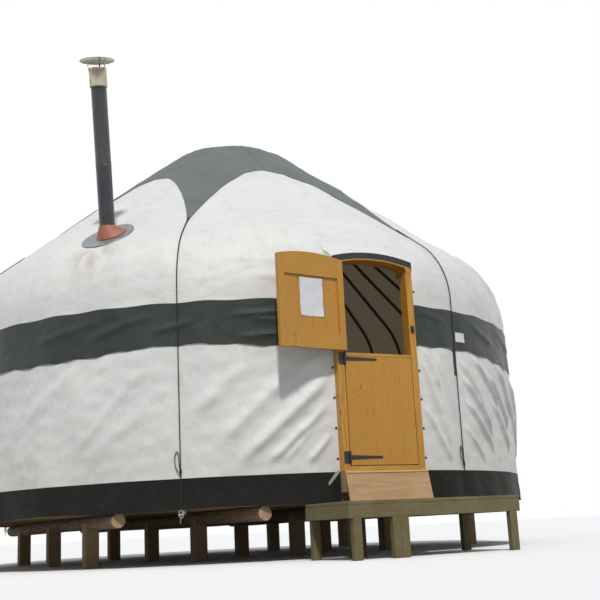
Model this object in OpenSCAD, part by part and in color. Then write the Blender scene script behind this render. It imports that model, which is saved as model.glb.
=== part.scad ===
/* [Tent body] */
// Outside radius of the wall canvas
wall_r = 2700; // [2600:10:2800]
// Floor level above the lowest ground under the building
floor_h = 620; // [600:5:700]
// Height of the upright wall above the floor, up to where the roof starts to curve in
shoulder_h = 1426; // [1420:2:1480]
// Outside radius of the bend between wall and roof
bend_r = 675; // [600:5:720]
// Slope of the straight part of the roof, in degrees
roof_slope = 38; // [36:0.5:40]
// Radius at which the straight roof meets the dome of the crown
crown_r = 594; // [560:2:640]
// Rise of the crown dome above that meeting line
crown_rise = 150; // [120:5:180]
// Thickness of the roof and wall canvas
canvas_t = 6; // [4:0.5:6]
// Thickness of the dark lining behind the canvas
lining_t = 5; // [3:0.5:5]
// Height above the floor of the joint between wall canvas and roof canvas
seam_h = 1160; // [1100:5:1200]

/* [Covers and ropes] */
// Height above the floor of the eaves band's lower edge
band_low = 990; // [900:5:1050]
// Height above the floor of the eaves band's upper edge
band_high = 1326; // [1280:2:1360]
// Depth of the dark skirt below the floor level
skirt_drop = 225; // [180:5:240]
// Thickness of the band, skirt and crown cover
cover_t = 4; // [2:0.5:5]
// Number of points of the star-shaped crown cover
star_tips = 7; // [6:1:8]
// Direction of the first star point from the door, in degrees to the right
star_turn = 18.3; // [16:0.1:24]
// Distance of a star point's end from the building's axis
tip_r = 2306; // [2200:2:2400]
// Distance of the cover's edge from the axis midway between two points
scallop_r = 1205; // [1150:5:1300]
// Shape of the scalloped edge, where a smaller value makes the points narrower
scallop_bend = 0.7; // [0.6:0.05:0.9]
// Width of a storm rope
rope_w = 14; // [8:1:18]
// Thickness of a storm rope
rope_t = 10; // [6:1:12]
// How far a storm rope runs down below the floor level
rope_drop = 250; // [240:5:260]
// Width of a rope hook
hook_w = 40; // [30:2:60]
// Thickness of a rope hook
hook_t = 12; // [8:1:14]

/* [Timber frame] */
// Number of laths in each of the two layers of trellis round the whole wall
lath_count = 42; // [42]
// Width of a trellis lath
lath_w = 30; // [24:1:36]
// Thickness of a trellis lath
lath_t = 12; // [10:0.5:13]
// Height of the trellis above the floor
trellis_h = 1200; // [1200]
// Width and thickness of a square roof pole
pole_w = 30; // [26:1:32]
// How much flatter the roof poles lie than the canvas over them, in degrees
pole_flat = 0.4; // [0.3:0.05:0.8]
// Width of the crown ring, measured outwards
ring_w = 60; // [50:2:70]
// Height of the crown ring at its outside
ring_h = 85; // [80:1:110]
// Depth to which a pole or a spoke sits in the crown ring
ring_seat = 25; // [20:1:28]
// Thickness of a crown spoke
spoke_t = 22; // [18:1:24]
// Width of a crown spoke
spoke_w = 36; // [30:1:44]
// Distance between the middles of two crown spokes
spoke_step = 150; // [110:5:180]

/* [Door] */
// Width over the door frame
door_w = 734; // [700:2:760]
// Width of the face of a jamb
jamb_w = 60; // [50:1:70]
// Depth of the jambs and sill from front to back
frame_d = 95; // [80:1:100]
// Depth of the door head, on which the poles over the door stand
head_d = 150; // [145:1:160]
// Height of the jambs above the floor
jamb_h = 1665; // [1620:5:1690]
// Rise of the arched head above the top of the jambs, at the middle
arch_rise = 50; // [40:2:60]
// Height above the floor of the gap between the two leaves
leaf_split = 905; // [860:5:950]
// Thickness of a door leaf
leaf_t = 36; // [32:1:40]
// Gap round a door leaf
leaf_gap = 6; // [5:0.5:8]
// Opening of the top leaf as it stands, in degrees from closed
top_open = 173; // [150:1:176]
// Height of the sill above the floor
sill_h = 40; // [30:1:50]
// Depth of the dark strip that slopes up from the door head to the roof canvas
hood_d = 150; // [120:2:160]
// Slope of that strip, in degrees
hood_slope = 32; // [28:1:34]
// Thickness of that strip
hood_t = 4; // [2:0.5:5]
// Width of the stiles on the inside of the top leaf
stile_w = 55; // [45:1:80]
// Width of the lower rail on the inside of the top leaf
rail_w = 120; // [80:5:140]
// Width of the arched upper rail at its ends
rail_top_w = 150; // [100:5:170]
// Depth of the recess between the stiles and rails
recess = 14; // [8:1:18]
// Length of a hinge strap
strap_len = 290; // [240:5:320]
// Width of a hinge strap
strap_w = 32; // [24:1:40]
// Thickness of a hinge strap
strap_t = 5; // [4:0.5:6]
// Width of the hinge plate on the jamb
plate_w = 48; // [40:1:56]
// Height of the hinge plate on the jamb
plate_h = 90; // [86:2:110]
// Radius of a hinge pin
pin_r = 4; // [3:0.5:5]
// Width of the sheet pinned to the top leaf
sheet_w = 210; // [150:5:250]
// Height of that sheet
sheet_h = 297; // [200:1:320]
// Height of the latch plate
latch_h = 60; // [40:2:100]
// Height of the latch plate's lower edge above the floor
latch_z = 1080; // [1040:10:1120]
// Length of the tie cord that hangs in front of the top leaf's lower rail
cord_len = 100; // [80:5:100]
// Diameter of that cord
cord_d = 6; // [4:0.5:8]

/* [Platform] */
// Thickness of the floor boards
board_t = 25; // [22:1:28]
// Depth of the floor joists and the rim
joist_h = 195; // [150:5:200]
// Thickness of a floor joist
joist_w = 45; // [38:1:50]
// Distance between two floor joists
joist_step = 400; // [350:10:420]
// Thickness of the round rim of the floor
rim_w = 50; // [40:1:60]
// Depth of the bearer under the door
bearer_h = 150; // [100:5:180]
// Diameter of the log bearers
log_d = 110; // [100:5:120]
// Distance between two logs
log_step = 925; // [900:5:940]
// How much shorter the logs are at the back than at the front
log_short = 150; // [120:5:200]
// Width of a platform post
post_w = 110; // [90:5:130]
// Distance between two posts along a log
post_step = 1200; // [900:10:1300]

/* [Landing] */
// Drop from the floor to the top of the landing
landing_drop = 232; // [220:2:240]
// Width of the landing
landing_w = 1440; // [1300:10:1500]
// Distance of the landing's front edge from the building's axis
landing_front = 3375; // [3300:5:3500]
// Distance of the landing's back edge from the building's axis
landing_back = 2750; // [2745:5:2780]
// Number of landing boards
landing_count = 6; // [5:1:7]
// Gap between landing boards
landing_gap = 6; // [3:1:10]
// Depth of the beams under the landing boards
beam_h = 90; // [80:2:100]
// Thickness of the beams and legs
beam_w = 45; // [40:1:50]
// Width of a landing leg
leg_w = 65; // [60:1:75]
// Distance of the outer legs from the landing's ends
leg_inset = 30; // [0:5:80]
// Sideways place of the wide leg between them
mid_leg_x = -313; // [-340:1:0]
// Lean of the board below the door, in degrees
board_lean = 13.5; // [8:0.5:16]
// Thickness of the leaning board
board_lean_t = 18; // [15:1:22]

/* [Stove pipe] */
// Diameter of the stove pipe
pipe_d = 128; // [120:2:140]
// Distance of the pipe from the building's axis, at the roof
pipe_r = 2327; // [2300:1:2340]
// Direction of the pipe from the door, in degrees to the right
pipe_turn = -50; // [-52:0.1:-49.5]
// Height of the pipe above the roof
pipe_h = 1228; // [1000:4:1300]
// Length of the pipe below the roof
pipe_in = 300; // [280:5:320]
// Lean of the pipe, in degrees
pipe_lean = 14; // [8:0.5:15]
// Direction of the lean, from straight left towards the front, in degrees
lean_turn = 60; // [40:1:70]
// Wall thickness of the pipe
pipe_t = 3; // [2:0.5:4]
// Radius of the flat plate round the pipe
flat_r = 228; // [220:2:240]
// Thickness of that plate
flat_t = 3; // [2:0.5:5]
// Height of the boot above the roof
boot_h = 90; // [80:5:120]
// How much wider the boot is at its foot than the pipe
boot_flare = 130; // [100:5:140]
// Height of the bright length at the top of the pipe
collar_h = 158; // [120:2:200]
// Diameter of that length
collar_d = 146; // [142:2:160]
// Diameter of the cowl's cap
cap_d = 286; // [260:2:320]
// Height of the cowl's cap
cap_h = 24; // [16:2:60]
// Height of the gap under the cap
cap_gap = 62; // [40:1:80]

/* [Hidden] */
$fn = 240;
gap = 1;
seat = 0.3;
bend_steps = 8;
dome_steps = 8;
star_steps = 10;
bend_end = 90 - roof_slope;
eaves_z = floor_h + shoulder_h;
seam_z = floor_h + seam_h;
lining_off = -canvas_t - gap;
frame_off = lining_off - lining_t - gap;
pole_off = frame_off - gap - pole_w / 2;
pole_slope = roof_slope - pole_flat;
rope_off = cover_t + 2 * gap;
dome_r = (crown_r * crown_r + crown_rise * crown_rise) / (2 * crown_rise);
lath_r = wall_r + frame_off - 4;
lath_in = lath_r - lath_t;
rim_r = wall_r - 20;
beam_z = floor_h - board_t - joist_h;
pole_end = crown_r - ring_seat;
void_side = 2;
void_in = 600;
void_out = 300;
void_low = 400;
void_h = 2400;
flue_cut = 400;
rope_lap = 120;
sheet_up = 125;
head_low = 100;
void_top = hood_d * sin(hood_slope) + 12;
leaf_low = floor_h + leaf_split + leaf_gap / 2;
cord_x = 163;
cord_z = leaf_low + rail_w - 10;
door_front = wall_r + 30;
opening_w = door_w - 2 * jamb_w;
arch_r = (door_w * door_w / 4 + arch_rise * arch_rise) / (2 * arch_rise);
arch_top = floor_h + jamb_h + arch_rise;
arch_z = arch_top - arch_r;
leaf_corner = arch_z + sqrt(pow(arch_r - jamb_w - leaf_gap, 2) - pow(opening_w / 2 - leaf_gap, 2));
hinge_x = -opening_w / 2;
hinge_out = 9;
hinge_y = -door_front - hinge_out;
knuckle_r = pin_r + 3.5;
pin_fit = 0.08;
hinge_at = [105, 855, 1010, 1480];
pole_step = 360 / lath_count;
landing_z = floor_h - landing_drop;
boot_low = 70;
leg_lean = 10;

function backwards(list) = [for (i = [len(list) - 1:-1:0]) list[i]];
function bend_pt(off, t) = [wall_r - bend_r + (bend_r + off) * cos(t), eaves_z + (bend_r + off) * sin(t)];
function roof_z(off, r) = bend_pt(off, bend_end)[1] + (bend_pt(off, bend_end)[0] - r) * tan(roof_slope);
function dome_centre(off) = roof_z(off, crown_r) - sqrt(dome_r * dome_r - crown_r * crown_r);
function dome_z(off, r) = dome_centre(off) + sqrt(dome_r * dome_r - r * r);
function bend_line(off) = [for (i = [0:bend_steps]) bend_pt(off, bend_end * i / bend_steps)];
function dome_line(off) = [for (i = [dome_steps:-1:0]) let (r = crown_r * i / dome_steps) [r, dome_z(off, r)]];
function skin_line(off, z_low) = concat([[wall_r + off, z_low]], bend_line(off), dome_line(off));
function cap_line(off, r_low) = concat([[r_low, roof_z(off, r_low)]], dome_line(off));
function rope_line(off, z_low, r_high) =
    concat([[wall_r + off, z_low]], bend_line(off), [[r_high, roof_z(off, r_high)]]);
function pole_z(r) = let (p = bend_pt(pole_off, 90 - pole_slope)) p[1] + (p[0] - r) * tan(pole_slope);
function pole_line(out) = concat([[wall_r + pole_off + out, floor_h + trellis_h]],
    [for (i = [0:bend_steps]) bend_pt(pole_off + out, (90 - pole_slope) * i / bend_steps)],
    [[pole_end + out * sin(pole_slope), pole_z(pole_end) + out * cos(pole_slope)]]);
function star_pt(i, k) = let (u = pow(abs(k) / star_steps, 1.6), a = (2 * i + sign(k) * u) * 180 / star_tips,
    r = scallop_r + (tip_r - scallop_r) * pow(1 - pow(u, scallop_bend), 2)) r * [cos(a), sin(a)];

module about_axis(a) rotate([0, 0, a]) children();

module strip(w, line_out, line_in) {
    rotate([0, 0, -90]) translate([0, w / 2, 0]) rotate([90, 0, 0]) linear_extrude(w)
        polygon(concat(line_out, backwards(line_in)));
}

module skin(line_out, line_in) rotate_extrude() polygon(concat(line_out, backwards(line_in)));

module sector(a0, a1, r, z0, z1) {
    reach = r / cos((a1 - a0) / 4);
    translate([0, 0, z0]) linear_extrude(z1 - z0)
        polygon([[0, 0], for (i = [0:2]) let (a = a0 + (a1 - a0) * i / 2) [reach * sin(a), -reach * cos(a)]]);
}

module tube(r_in, r_out, z0, z1) {
    translate([0, 0, z0]) difference() {
        cylinder(r = r_out, h = z1 - z0);
        translate([0, 0, -1]) cylinder(r = r_in, h = z1 - z0 + 2);
    }
}

module door_void(side, top) {
    translate([0, -wall_r + void_in, 0]) rotate([90, 0, 0]) linear_extrude(void_in + void_out) intersection() {
        translate([-door_w / 2 - side, floor_h - void_low]) square([door_w + 2 * side, void_h]);
        translate([0, arch_z]) circle(r = arch_r + top);
    }
}

module flue_place() {
    about_axis(pipe_turn) translate([0, -pipe_r, roof_z(0, pipe_r)]) about_axis(-pipe_turn) children();
}

module flue_lean() {
    flue_place() about_axis(lean_turn) rotate([0, -pipe_lean, 0]) children();
}

module flue_void(d) flue_lean() translate([0, 0, -flue_cut]) cylinder(d = d, h = 2 * flue_cut);

module roof_canvas() {
    color("gainsboro") difference() {
        skin(skin_line(0, seam_z + gap), skin_line(-canvas_t, seam_z + gap));
        door_void(void_side, void_top);
        flue_void(pipe_d + 40);
    }
}

module half_wall(side, r_in, r_out, z0, z1) {
    difference() {
        tube(r_in, r_out, z0, z1);
        door_void(void_side, void_top);
        translate([side > 0 ? -2 * wall_r : -1, -2 * wall_r, z0 - 1])
            cube([2 * wall_r + 1, 4 * wall_r, z1 - z0 + 2]);
    }
}

module wall_canvas_left() {
    color("gainsboro") half_wall(-1, wall_r - canvas_t, wall_r, floor_h - 20, seam_z);
}

module wall_canvas_right() {
    color("gainsboro") half_wall(1, wall_r - canvas_t, wall_r, floor_h - 20, seam_z);
}

module roof_lining() {
    color("dimgray") difference() {
        skin(skin_line(lining_off, seam_z + gap), skin_line(lining_off - lining_t, seam_z + gap));
        door_void(void_side, void_top);
        flue_void(pipe_d + 40);
    }
}

module wall_lining() {
    color("dimgray") difference() {
        tube(wall_r + lining_off - lining_t, wall_r + lining_off, floor_h, seam_z);
        door_void(void_side, void_top);
    }
}

module eaves_band() {
    color("darkslategray") difference() {
        tube(wall_r + gap, wall_r + gap + cover_t, floor_h + band_low, floor_h + band_high);
        door_void(void_side, void_top);
    }
}

module crown_cover() {
    color("darkslategray") intersection() {
        skin(cap_line(gap + cover_t, tip_r + 20), cap_line(gap, tip_r + 20));
        about_axis(star_turn - 90) linear_extrude(floor_h + 2 * wall_r)
            polygon([for (i = [0:star_tips - 1]) for (k = [-star_steps:star_steps - 1]) star_pt(i, k)]);
    }
}

module skirt_left() {
    color("black") half_wall(-1, wall_r + gap, wall_r + gap + cover_t, floor_h - skirt_drop, floor_h + 3);
}

module skirt_right() {
    color("black") half_wall(1, wall_r + gap, wall_r + gap + cover_t, floor_h - skirt_drop, floor_h + 3);
}

module storm_ropes() {
    color("dimgray") for (i = [0:star_tips - 1]) about_axis(star_turn + i * 360 / star_tips)
        strip(rope_w, rope_line(rope_off + rope_t, floor_h - rope_drop, tip_r - rope_lap),
            rope_line(rope_off, floor_h - rope_drop, tip_r - rope_lap));
}

module rope_hooks() {
    color("silver") for (i = [0:star_tips - 1]) about_axis(star_turn + i * 360 / star_tips) {
        translate([-hook_w / 2, -wall_r - rope_off - 14, floor_h - rope_drop - hook_t])
            cube([hook_w, rope_off + 84, hook_t]);
        translate([-hook_w / 2, -wall_r + 70 - hook_t, floor_h - rope_drop - hook_t])
            cube([hook_w, hook_t, hook_t + rope_drop - board_t - joist_h]);
    }
}

module lath(a, lean) {
    about_axis(a) translate([0, -lath_in, floor_h + trellis_h / 2]) rotate([0, lean, 0])
        cube([lath_w, 300, 2 * trellis_h], center = true);
}

module many_sided(r)
    polygon([for (i = [0:2 * lath_count - 1]) let (a = (i + 0.5) * pole_step / 2) r * [sin(a), cos(a)]]);

module lath_ring(r_out, r_in) {
    translate([0, 0, floor_h]) linear_extrude(trellis_h) difference() {
        many_sided(r_out);
        many_sided(r_in);
    }
}

module lath_layer(first, last, lean, r_out) {
    intersection() {
        lath_ring(r_out, r_out - lath_t);
        union() for (i = [first:last]) lath(i * pole_step, lean);
    }
}

module trellis(a0, a1) {
    first = floor(a0 / pole_step) - 2;
    last = ceil(a1 / pole_step) + 2;
    color("saddlebrown") intersection() {
        union() {
            lath_layer(first, last, 45, lath_r);
            lath_layer(first, last, -45, lath_in + 1);
        }
        sector(a0, a1, wall_r, floor_h - 1, floor_h + trellis_h + 1);
    }
}

module trellis_front_left() trellis(-94.6, -8.1);
module trellis_back_left() trellis(-182.1, -95);
module trellis_back_right() trellis(95, 177.7);
module trellis_front_right() trellis(8.1, 94.6);

module tension_band() {
    color("tan") difference() {
        tube(lath_r + gap, lath_r + gap + 2, floor_h + trellis_h - 90, floor_h + trellis_h - 30);
        door_void(void_side, void_top);
    }
}

module poles(first, last) {
    color("saddlebrown") difference() {
        for (i = [first:last]) about_axis((i + 0.5) * pole_step)
            strip(pole_w, pole_line(pole_w / 2), pole_line(-pole_w / 2));
        door_void(void_side, seat);
    }
}

module roof_poles_front() poles(-5, 4);
module roof_poles_right() poles(5, 15);
module roof_poles_back() poles(16, 25);
module roof_poles_left() poles(26, 36);

module crown_ring() {
    r_in = crown_r - ring_w;
    seat_r = pole_end - seat;
    hole = pole_w + 2 * seat;
    z_top = roof_z(frame_off - 1, crown_r);
    color("saddlebrown") difference() {
        rotate_extrude() polygon([[r_in, z_top - ring_h], [crown_r, z_top - ring_h], [crown_r, z_top],
            [r_in, dome_z(frame_off - 2, r_in)]]);
        for (i = [0:lath_count - 1]) about_axis((i + 0.5) * pole_step - 90)
            translate([seat_r, 0, pole_z(seat_r)]) rotate([0, pole_slope, 0])
                translate([0, -hole / 2, -hole / 2]) cube([200, hole, hole]);
        crown_bars(seat);
    }
}

module crown_bar(y, r_out, fit) {
    r = sqrt(r_out * r_out - y * y) + fit;
    reach = asin((sqrt(pow(crown_r - ring_w + ring_seat, 2) - y * y) + fit) / r);
    translate([0, y, dome_centre(frame_off)]) rotate([90, 0, 0]) translate([0, 0, -spoke_w / 2 - fit])
        rotate([0, 0, 90 - reach]) rotate_extrude(angle = 2 * reach)
            translate([r - spoke_t - 2 * fit, 0]) square([spoke_t + 2 * fit, spoke_w + 2 * fit]);
}

module crown_bars(fit) {
    for (k = [-1:1]) {
        crown_bar(k * spoke_step, dome_r - 3, fit);
        about_axis(90) crown_bar(k * spoke_step, dome_r - 2 - spoke_t, fit);
    }
}

module crown_spokes() color("saddlebrown") crown_bars(0);

module door_outline(inset) {
    intersection() {
        translate([-door_w / 2 + inset, floor_h]) square([door_w - 2 * inset, jamb_h + arch_rise]);
        translate([0, arch_z]) circle(r = arch_r - inset);
    }
}

module door_jamb(side) {
    color("goldenrod") translate([side > 0 ? opening_w / 2 : -door_w / 2, -door_front, floor_h])
        cube([jamb_w, frame_d, jamb_h - head_low]);
}

module door_jamb_left() door_jamb(-1);
module door_jamb_right() door_jamb(1);

module door_head() {
    color("goldenrod") intersection() {
        translate([0, head_d - door_front, 0]) rotate([90, 0, 0]) linear_extrude(head_d) difference() {
            door_outline(0);
            door_outline(jamb_w);
        }
        translate([-door_w, -door_front - 1, floor_h + jamb_h - head_low]) cube([2 * door_w, head_d + 2, 3 * head_low]);
    }
}

module door_sill() {
    color("goldenrod") translate([-opening_w / 2, -door_front, floor_h]) cube([opening_w, frame_d, sill_h]);
}

module door_hood() {
    color("darkslategray") intersection() {
        translate([0, -door_front, arch_top]) rotate([90 + hood_slope, 0, 0])
            translate([0, -arch_r, -hood_d]) linear_extrude(hood_d) difference() {
                circle(r = arch_r + seat + hood_t);
                circle(r = arch_r + seat);
            }
        translate([-door_w / 2, -door_front, floor_h + jamb_h - 10]) cube([door_w, hood_d, 400]);
    }
}

module hinge_plate(z) {
    difference() {
        translate([hinge_x - plate_w - 2, -door_front - 4, z - plate_h / 2]) cube([plate_w, 4, plate_h]);
        translate([hinge_x, hinge_y, z - 21]) cylinder(r = knuckle_r + 1, h = 42, $fn = 32);
    }
    for (s = [-1, 1]) translate([hinge_x, hinge_y, z + s * 33 - 12]) {
        cylinder(r = knuckle_r, h = 24, $fn = 32);
        translate([-8, 0, 0]) cube([6, hinge_out, 24]);
    }
    translate([hinge_x, hinge_y, z - 40]) cylinder(r = pin_r, h = 80, $fn = 32);
}

module door_hinge_plates() {
    color("black") for (h = hinge_at) hinge_plate(floor_h + h);
}

module strap(z) {
    difference() {
        union() {
            translate([hinge_x + 1, -door_front - strap_t, z - strap_w / 2]) cube([strap_len, strap_t, strap_w]);
            translate([hinge_x, hinge_y, z - 20]) cylinder(r = knuckle_r, h = 40, $fn = 32);
        }
        translate([hinge_x, hinge_y, z - 50]) cylinder(r = pin_r + pin_fit, h = 100, $fn = 32);
    }
}

module swung() {
    translate([hinge_x, hinge_y, 0]) rotate([0, 0, -top_open]) translate([-hinge_x, -hinge_y, 0]) children();
}

module leaf_blank(z0, z1) {
    intersection() {
        translate([0, -door_front + leaf_t, 0]) rotate([90, 0, 0]) linear_extrude(leaf_t)
            door_outline(jamb_w + leaf_gap);
        translate([-door_w, -door_front - 1, z0]) cube([2 * door_w, leaf_t + 2, z1 - z0]);
    }
}

module top_leaf() {
    color("goldenrod") swung() difference() {
        leaf_blank(leaf_low, arch_top);
        translate([0, -door_front + leaf_t + 1, 0]) rotate([90, 0, 0]) linear_extrude(recess + 1) intersection() {
            door_outline(jamb_w + leaf_gap + stile_w);
            translate([-door_w, leaf_low + rail_w])
                square([2 * door_w, leaf_corner - rail_top_w - leaf_low - rail_w]);
        }
    }
}

module top_leaf_hinges() {
    color("black") swung() for (i = [2, 3]) strap(floor_h + hinge_at[i]);
}

module notice_sheet() {
    color("white") swung() translate([-sheet_w / 2, -door_front + leaf_t - recess, leaf_low + rail_w + sheet_up])
        cube([sheet_w, 1, sheet_h]);
}

module leaf_cord() {
    color("tan") swung() translate([cord_x, -door_front + leaf_t + 12, cord_z]) {
        translate([0, 0, -cord_len]) cylinder(d = cord_d, h = cord_len, $fn = 24);
        translate([0, 0, -cord_len]) sphere(d = 2.4 * cord_d, $fn = 24);
        sphere(d = 2 * cord_d, $fn = 24);
        rotate([90, 0, 0]) cylinder(d = cord_d - 1, h = 12 - seat, $fn = 24);
    }
}

module bottom_leaf() {
    color("goldenrod") leaf_blank(floor_h + sill_h + leaf_gap, leaf_low - leaf_gap);
}

module bottom_leaf_hinges() {
    color("black") for (i = [0, 1]) strap(floor_h + hinge_at[i]);
}

module door_latch() {
    color("black") translate([opening_w / 2 + 12, -door_front - 4, floor_h + latch_z]) cube([36, 4, latch_h]);
}

module floor_boards() {
    color("tan") translate([0, 0, floor_h - board_t]) cylinder(r = wall_r - canvas_t - 2, h = board_t);
}

module platform_rim() {
    color("tan") tube(rim_r - rim_w, rim_r, beam_z, floor_h - board_t);
}

module floor_joists() {
    color("tan") intersection() {
        for (i = [-6:6]) translate([-wall_r, i * joist_step - joist_w / 2, beam_z])
            cube([2 * wall_r, joist_w, joist_h]);
        cylinder(r = rim_r - rim_w - gap, h = floor_h);
    }
}

module log_bearers() {
    color("sienna") for (i = [-2:2]) {
        reach = sqrt(wall_r * wall_r - pow(i * log_step, 2)) - 20;
        translate([i * log_step, reach - log_short, beam_z - log_d / 2]) rotate([90, 0, 0])
            cylinder(d = log_d, h = 2 * reach - log_short, $fn = 32);
    }
}

module platform_posts() {
    color("sienna") for (i = [-2:2]) for (k = [-1:1]) translate([i * log_step, k * post_step, 0]) difference() {
        translate([-post_w / 2, -post_w / 2, 0]) cube([post_w, post_w, beam_z - log_d / 2]);
        translate([0, post_w, beam_z - log_d / 2]) rotate([90, 0, 0])
            cylinder(d = log_d + 0.6, h = 2 * post_w, $fn = 32);
    }
}

module door_bearer() {
    color("tan") difference() {
        translate([-door_w / 2, -door_front - 6, floor_h - bearer_h]) cube([door_w, 200, bearer_h]);
        translate([0, 0, floor_h - bearer_h - 1]) cylinder(r = wall_r - canvas_t, h = bearer_h + 2);
    }
}

module threshold_board() {
    color("burlywood") intersection() {
        translate([-door_w / 2, -door_front - 6, floor_h]) rotate([-board_lean, 0, 0])
            translate([0, -board_lean_t, -400]) cube([door_w, board_lean_t, 400]);
        translate([-door_w, -door_front - 400, landing_z]) cube([2 * door_w, 800, landing_drop]);
    }
}

module landing_boards() {
    pitch = (landing_front - landing_back + landing_gap) / landing_count;
    color("darkkhaki") for (i = [0:landing_count - 1])
        translate([-landing_w / 2, -landing_front + i * pitch, landing_z - board_t])
            cube([landing_w, pitch - landing_gap, board_t]);
}

module landing_beams() {
    z = landing_z - board_t - beam_h;
    color("darkkhaki") {
        translate([-landing_w / 2, -landing_front, z]) cube([landing_w, beam_w, beam_h]);
        translate([-landing_w / 2, -landing_back - beam_w, z]) cube([landing_w, beam_w, beam_h]);
        for (x = [-landing_w / 2, -beam_w / 2, landing_w / 2 - beam_w])
            translate([x, -landing_front, z]) cube([beam_w, landing_front - landing_back, beam_h]);
    }
}

module landing_legs() {
    color("darkkhaki") for (y = [-landing_front, -landing_back - beam_w]) {
        for (x = [-landing_w / 2 + leg_inset, landing_w / 2 - leg_inset - leg_w])
            translate([x, y, 0]) cube([leg_w, beam_w, landing_z - board_t - beam_h]);
        translate([mid_leg_x - leg_w, y, 0]) cube([2 * leg_w, beam_w, landing_z - board_t - beam_h]);
    }
}

module flue_plate() {
    color("gray") flue_place() about_axis(pipe_turn) rotate([roof_slope, 0, 0]) difference() {
        translate([0, 0, seat]) cylinder(r = flat_r, h = flat_t, $fn = 96);
        cylinder(d = pipe_d + 60, h = 40, center = true, $fn = 96);
    }
}

module flue_boot() {
    color("firebrick") difference() {
        flue_lean() difference() {
            translate([0, 0, -boot_low]) cylinder(d1 = pipe_d + boot_flare, d2 = pipe_d + 14, h = boot_h + boot_low, $fn = 96);
            translate([0, 0, -boot_low - 1]) cylinder(d = pipe_d + 1, h = boot_h + boot_low + 2, $fn = 96);
        }
        flue_place() about_axis(pipe_turn) rotate([roof_slope, 0, 0])
            translate([-400, -400, flat_t + 2 * seat - 400]) cube([800, 800, 400]);
    }
}

module pipe_length(d, z0, z1) {
    translate([0, 0, z0]) difference() {
        cylinder(d = d, h = z1 - z0, $fn = 96);
        translate([0, 0, -1]) cylinder(d = pipe_d - 2 * pipe_t, h = z1 - z0 + 2, $fn = 96);
    }
}

module flue_pipe() {
    color("dimgray") flue_lean() pipe_length(pipe_d, -pipe_in, pipe_h);
}

module flue_cowl() {
    color("silver") flue_lean() translate([0, 0, pipe_h]) {
        pipe_length(collar_d, 0, collar_h);
        for (i = [0:2]) rotate([0, 0, i * 120])
            translate([collar_d / 2 - 4, -6, collar_h - 30]) rotate([0, leg_lean, 0]) cube([4, 12, cap_gap + 34]);
        translate([0, 0, collar_h + cap_gap]) cylinder(d1 = cap_d, d2 = 40, h = cap_h, $fn = 96);
    }
}

roof_canvas();
wall_canvas_left();
wall_canvas_right();
roof_lining();
wall_lining();
eaves_band();
crown_cover();
skirt_left();
skirt_right();
storm_ropes();
rope_hooks();
trellis_front_left();
trellis_back_left();
trellis_back_right();
trellis_front_right();
tension_band();
roof_poles_front();
roof_poles_left();
roof_poles_back();
roof_poles_right();
crown_ring();
crown_spokes();
door_jamb_left();
door_jamb_right();
door_head();
door_sill();
door_hood();
door_hinge_plates();
door_latch();
top_leaf();
top_leaf_hinges();
notice_sheet();
leaf_cord();
bottom_leaf();
bottom_leaf_hinges();
floor_boards();
platform_rim();
floor_joists();
log_bearers();
platform_posts();
door_bearer();
threshold_board();
landing_boards();
landing_beams();
landing_legs();
flue_plate();
flue_boot();
flue_pipe();
flue_cowl();
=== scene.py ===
import math

import bmesh
import bpy
import numpy as np
from mathutils import Matrix, Vector


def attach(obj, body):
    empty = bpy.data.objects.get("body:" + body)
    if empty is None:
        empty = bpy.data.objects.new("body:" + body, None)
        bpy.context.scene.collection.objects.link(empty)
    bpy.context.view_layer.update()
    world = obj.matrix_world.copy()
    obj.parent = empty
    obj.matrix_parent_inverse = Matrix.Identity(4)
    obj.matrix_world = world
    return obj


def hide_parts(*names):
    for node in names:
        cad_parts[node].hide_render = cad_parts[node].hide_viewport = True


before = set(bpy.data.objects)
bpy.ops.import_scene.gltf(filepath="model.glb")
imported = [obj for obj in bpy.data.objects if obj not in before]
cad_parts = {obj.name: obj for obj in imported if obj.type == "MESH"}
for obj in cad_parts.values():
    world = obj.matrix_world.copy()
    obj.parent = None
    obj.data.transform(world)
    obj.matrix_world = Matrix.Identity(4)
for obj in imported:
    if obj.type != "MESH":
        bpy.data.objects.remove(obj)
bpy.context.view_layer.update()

# Camera
# A long lens near the ground, in front and to the left of the door, tilted up and rolled by three degrees.
# Its place was fitted to the wall, eaves band, skirt, roof outline and door of the photograph.
cam_data = bpy.data.cameras.new("camera")
cam = bpy.data.objects.new("camera", cam_data)
bpy.context.scene.collection.objects.link(cam)
bpy.context.scene.camera = cam
cam_data.sensor_width = 36
cam_data.lens = 60
cam_data.clip_end = 200
cam.matrix_world = Matrix((
    (0.88762725, -0.06043254, -0.45658053, -4.1246),
    (-0.45799476, -0.22035831, -0.86121021, -9.2553),
    (-0.04856619, 0.97354513, -0.22327383, 0.2192),
    (0, 0, 0, 1)))

# Leaf cord
# A short tie cord hangs from an eye in the lower rail of the open top leaf, with a knot at its end.
# It hangs free and is a real cord of that length.
def prism_faces(rings, sides, ends=True):
    """Faces between rings of vertices that follow one another, and one face over each end."""
    faces = []
    for i in range(rings - 1):
        for k in range(sides):
            a, b = i * sides + k, i * sides + (k + 1) % sides
            faces.append((a, b, b + sides, a + sides))
    if ends:
        faces += [tuple(range(sides))[::-1], tuple(range((rings - 1) * sides, rings * sides))]
    return faces


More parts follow.
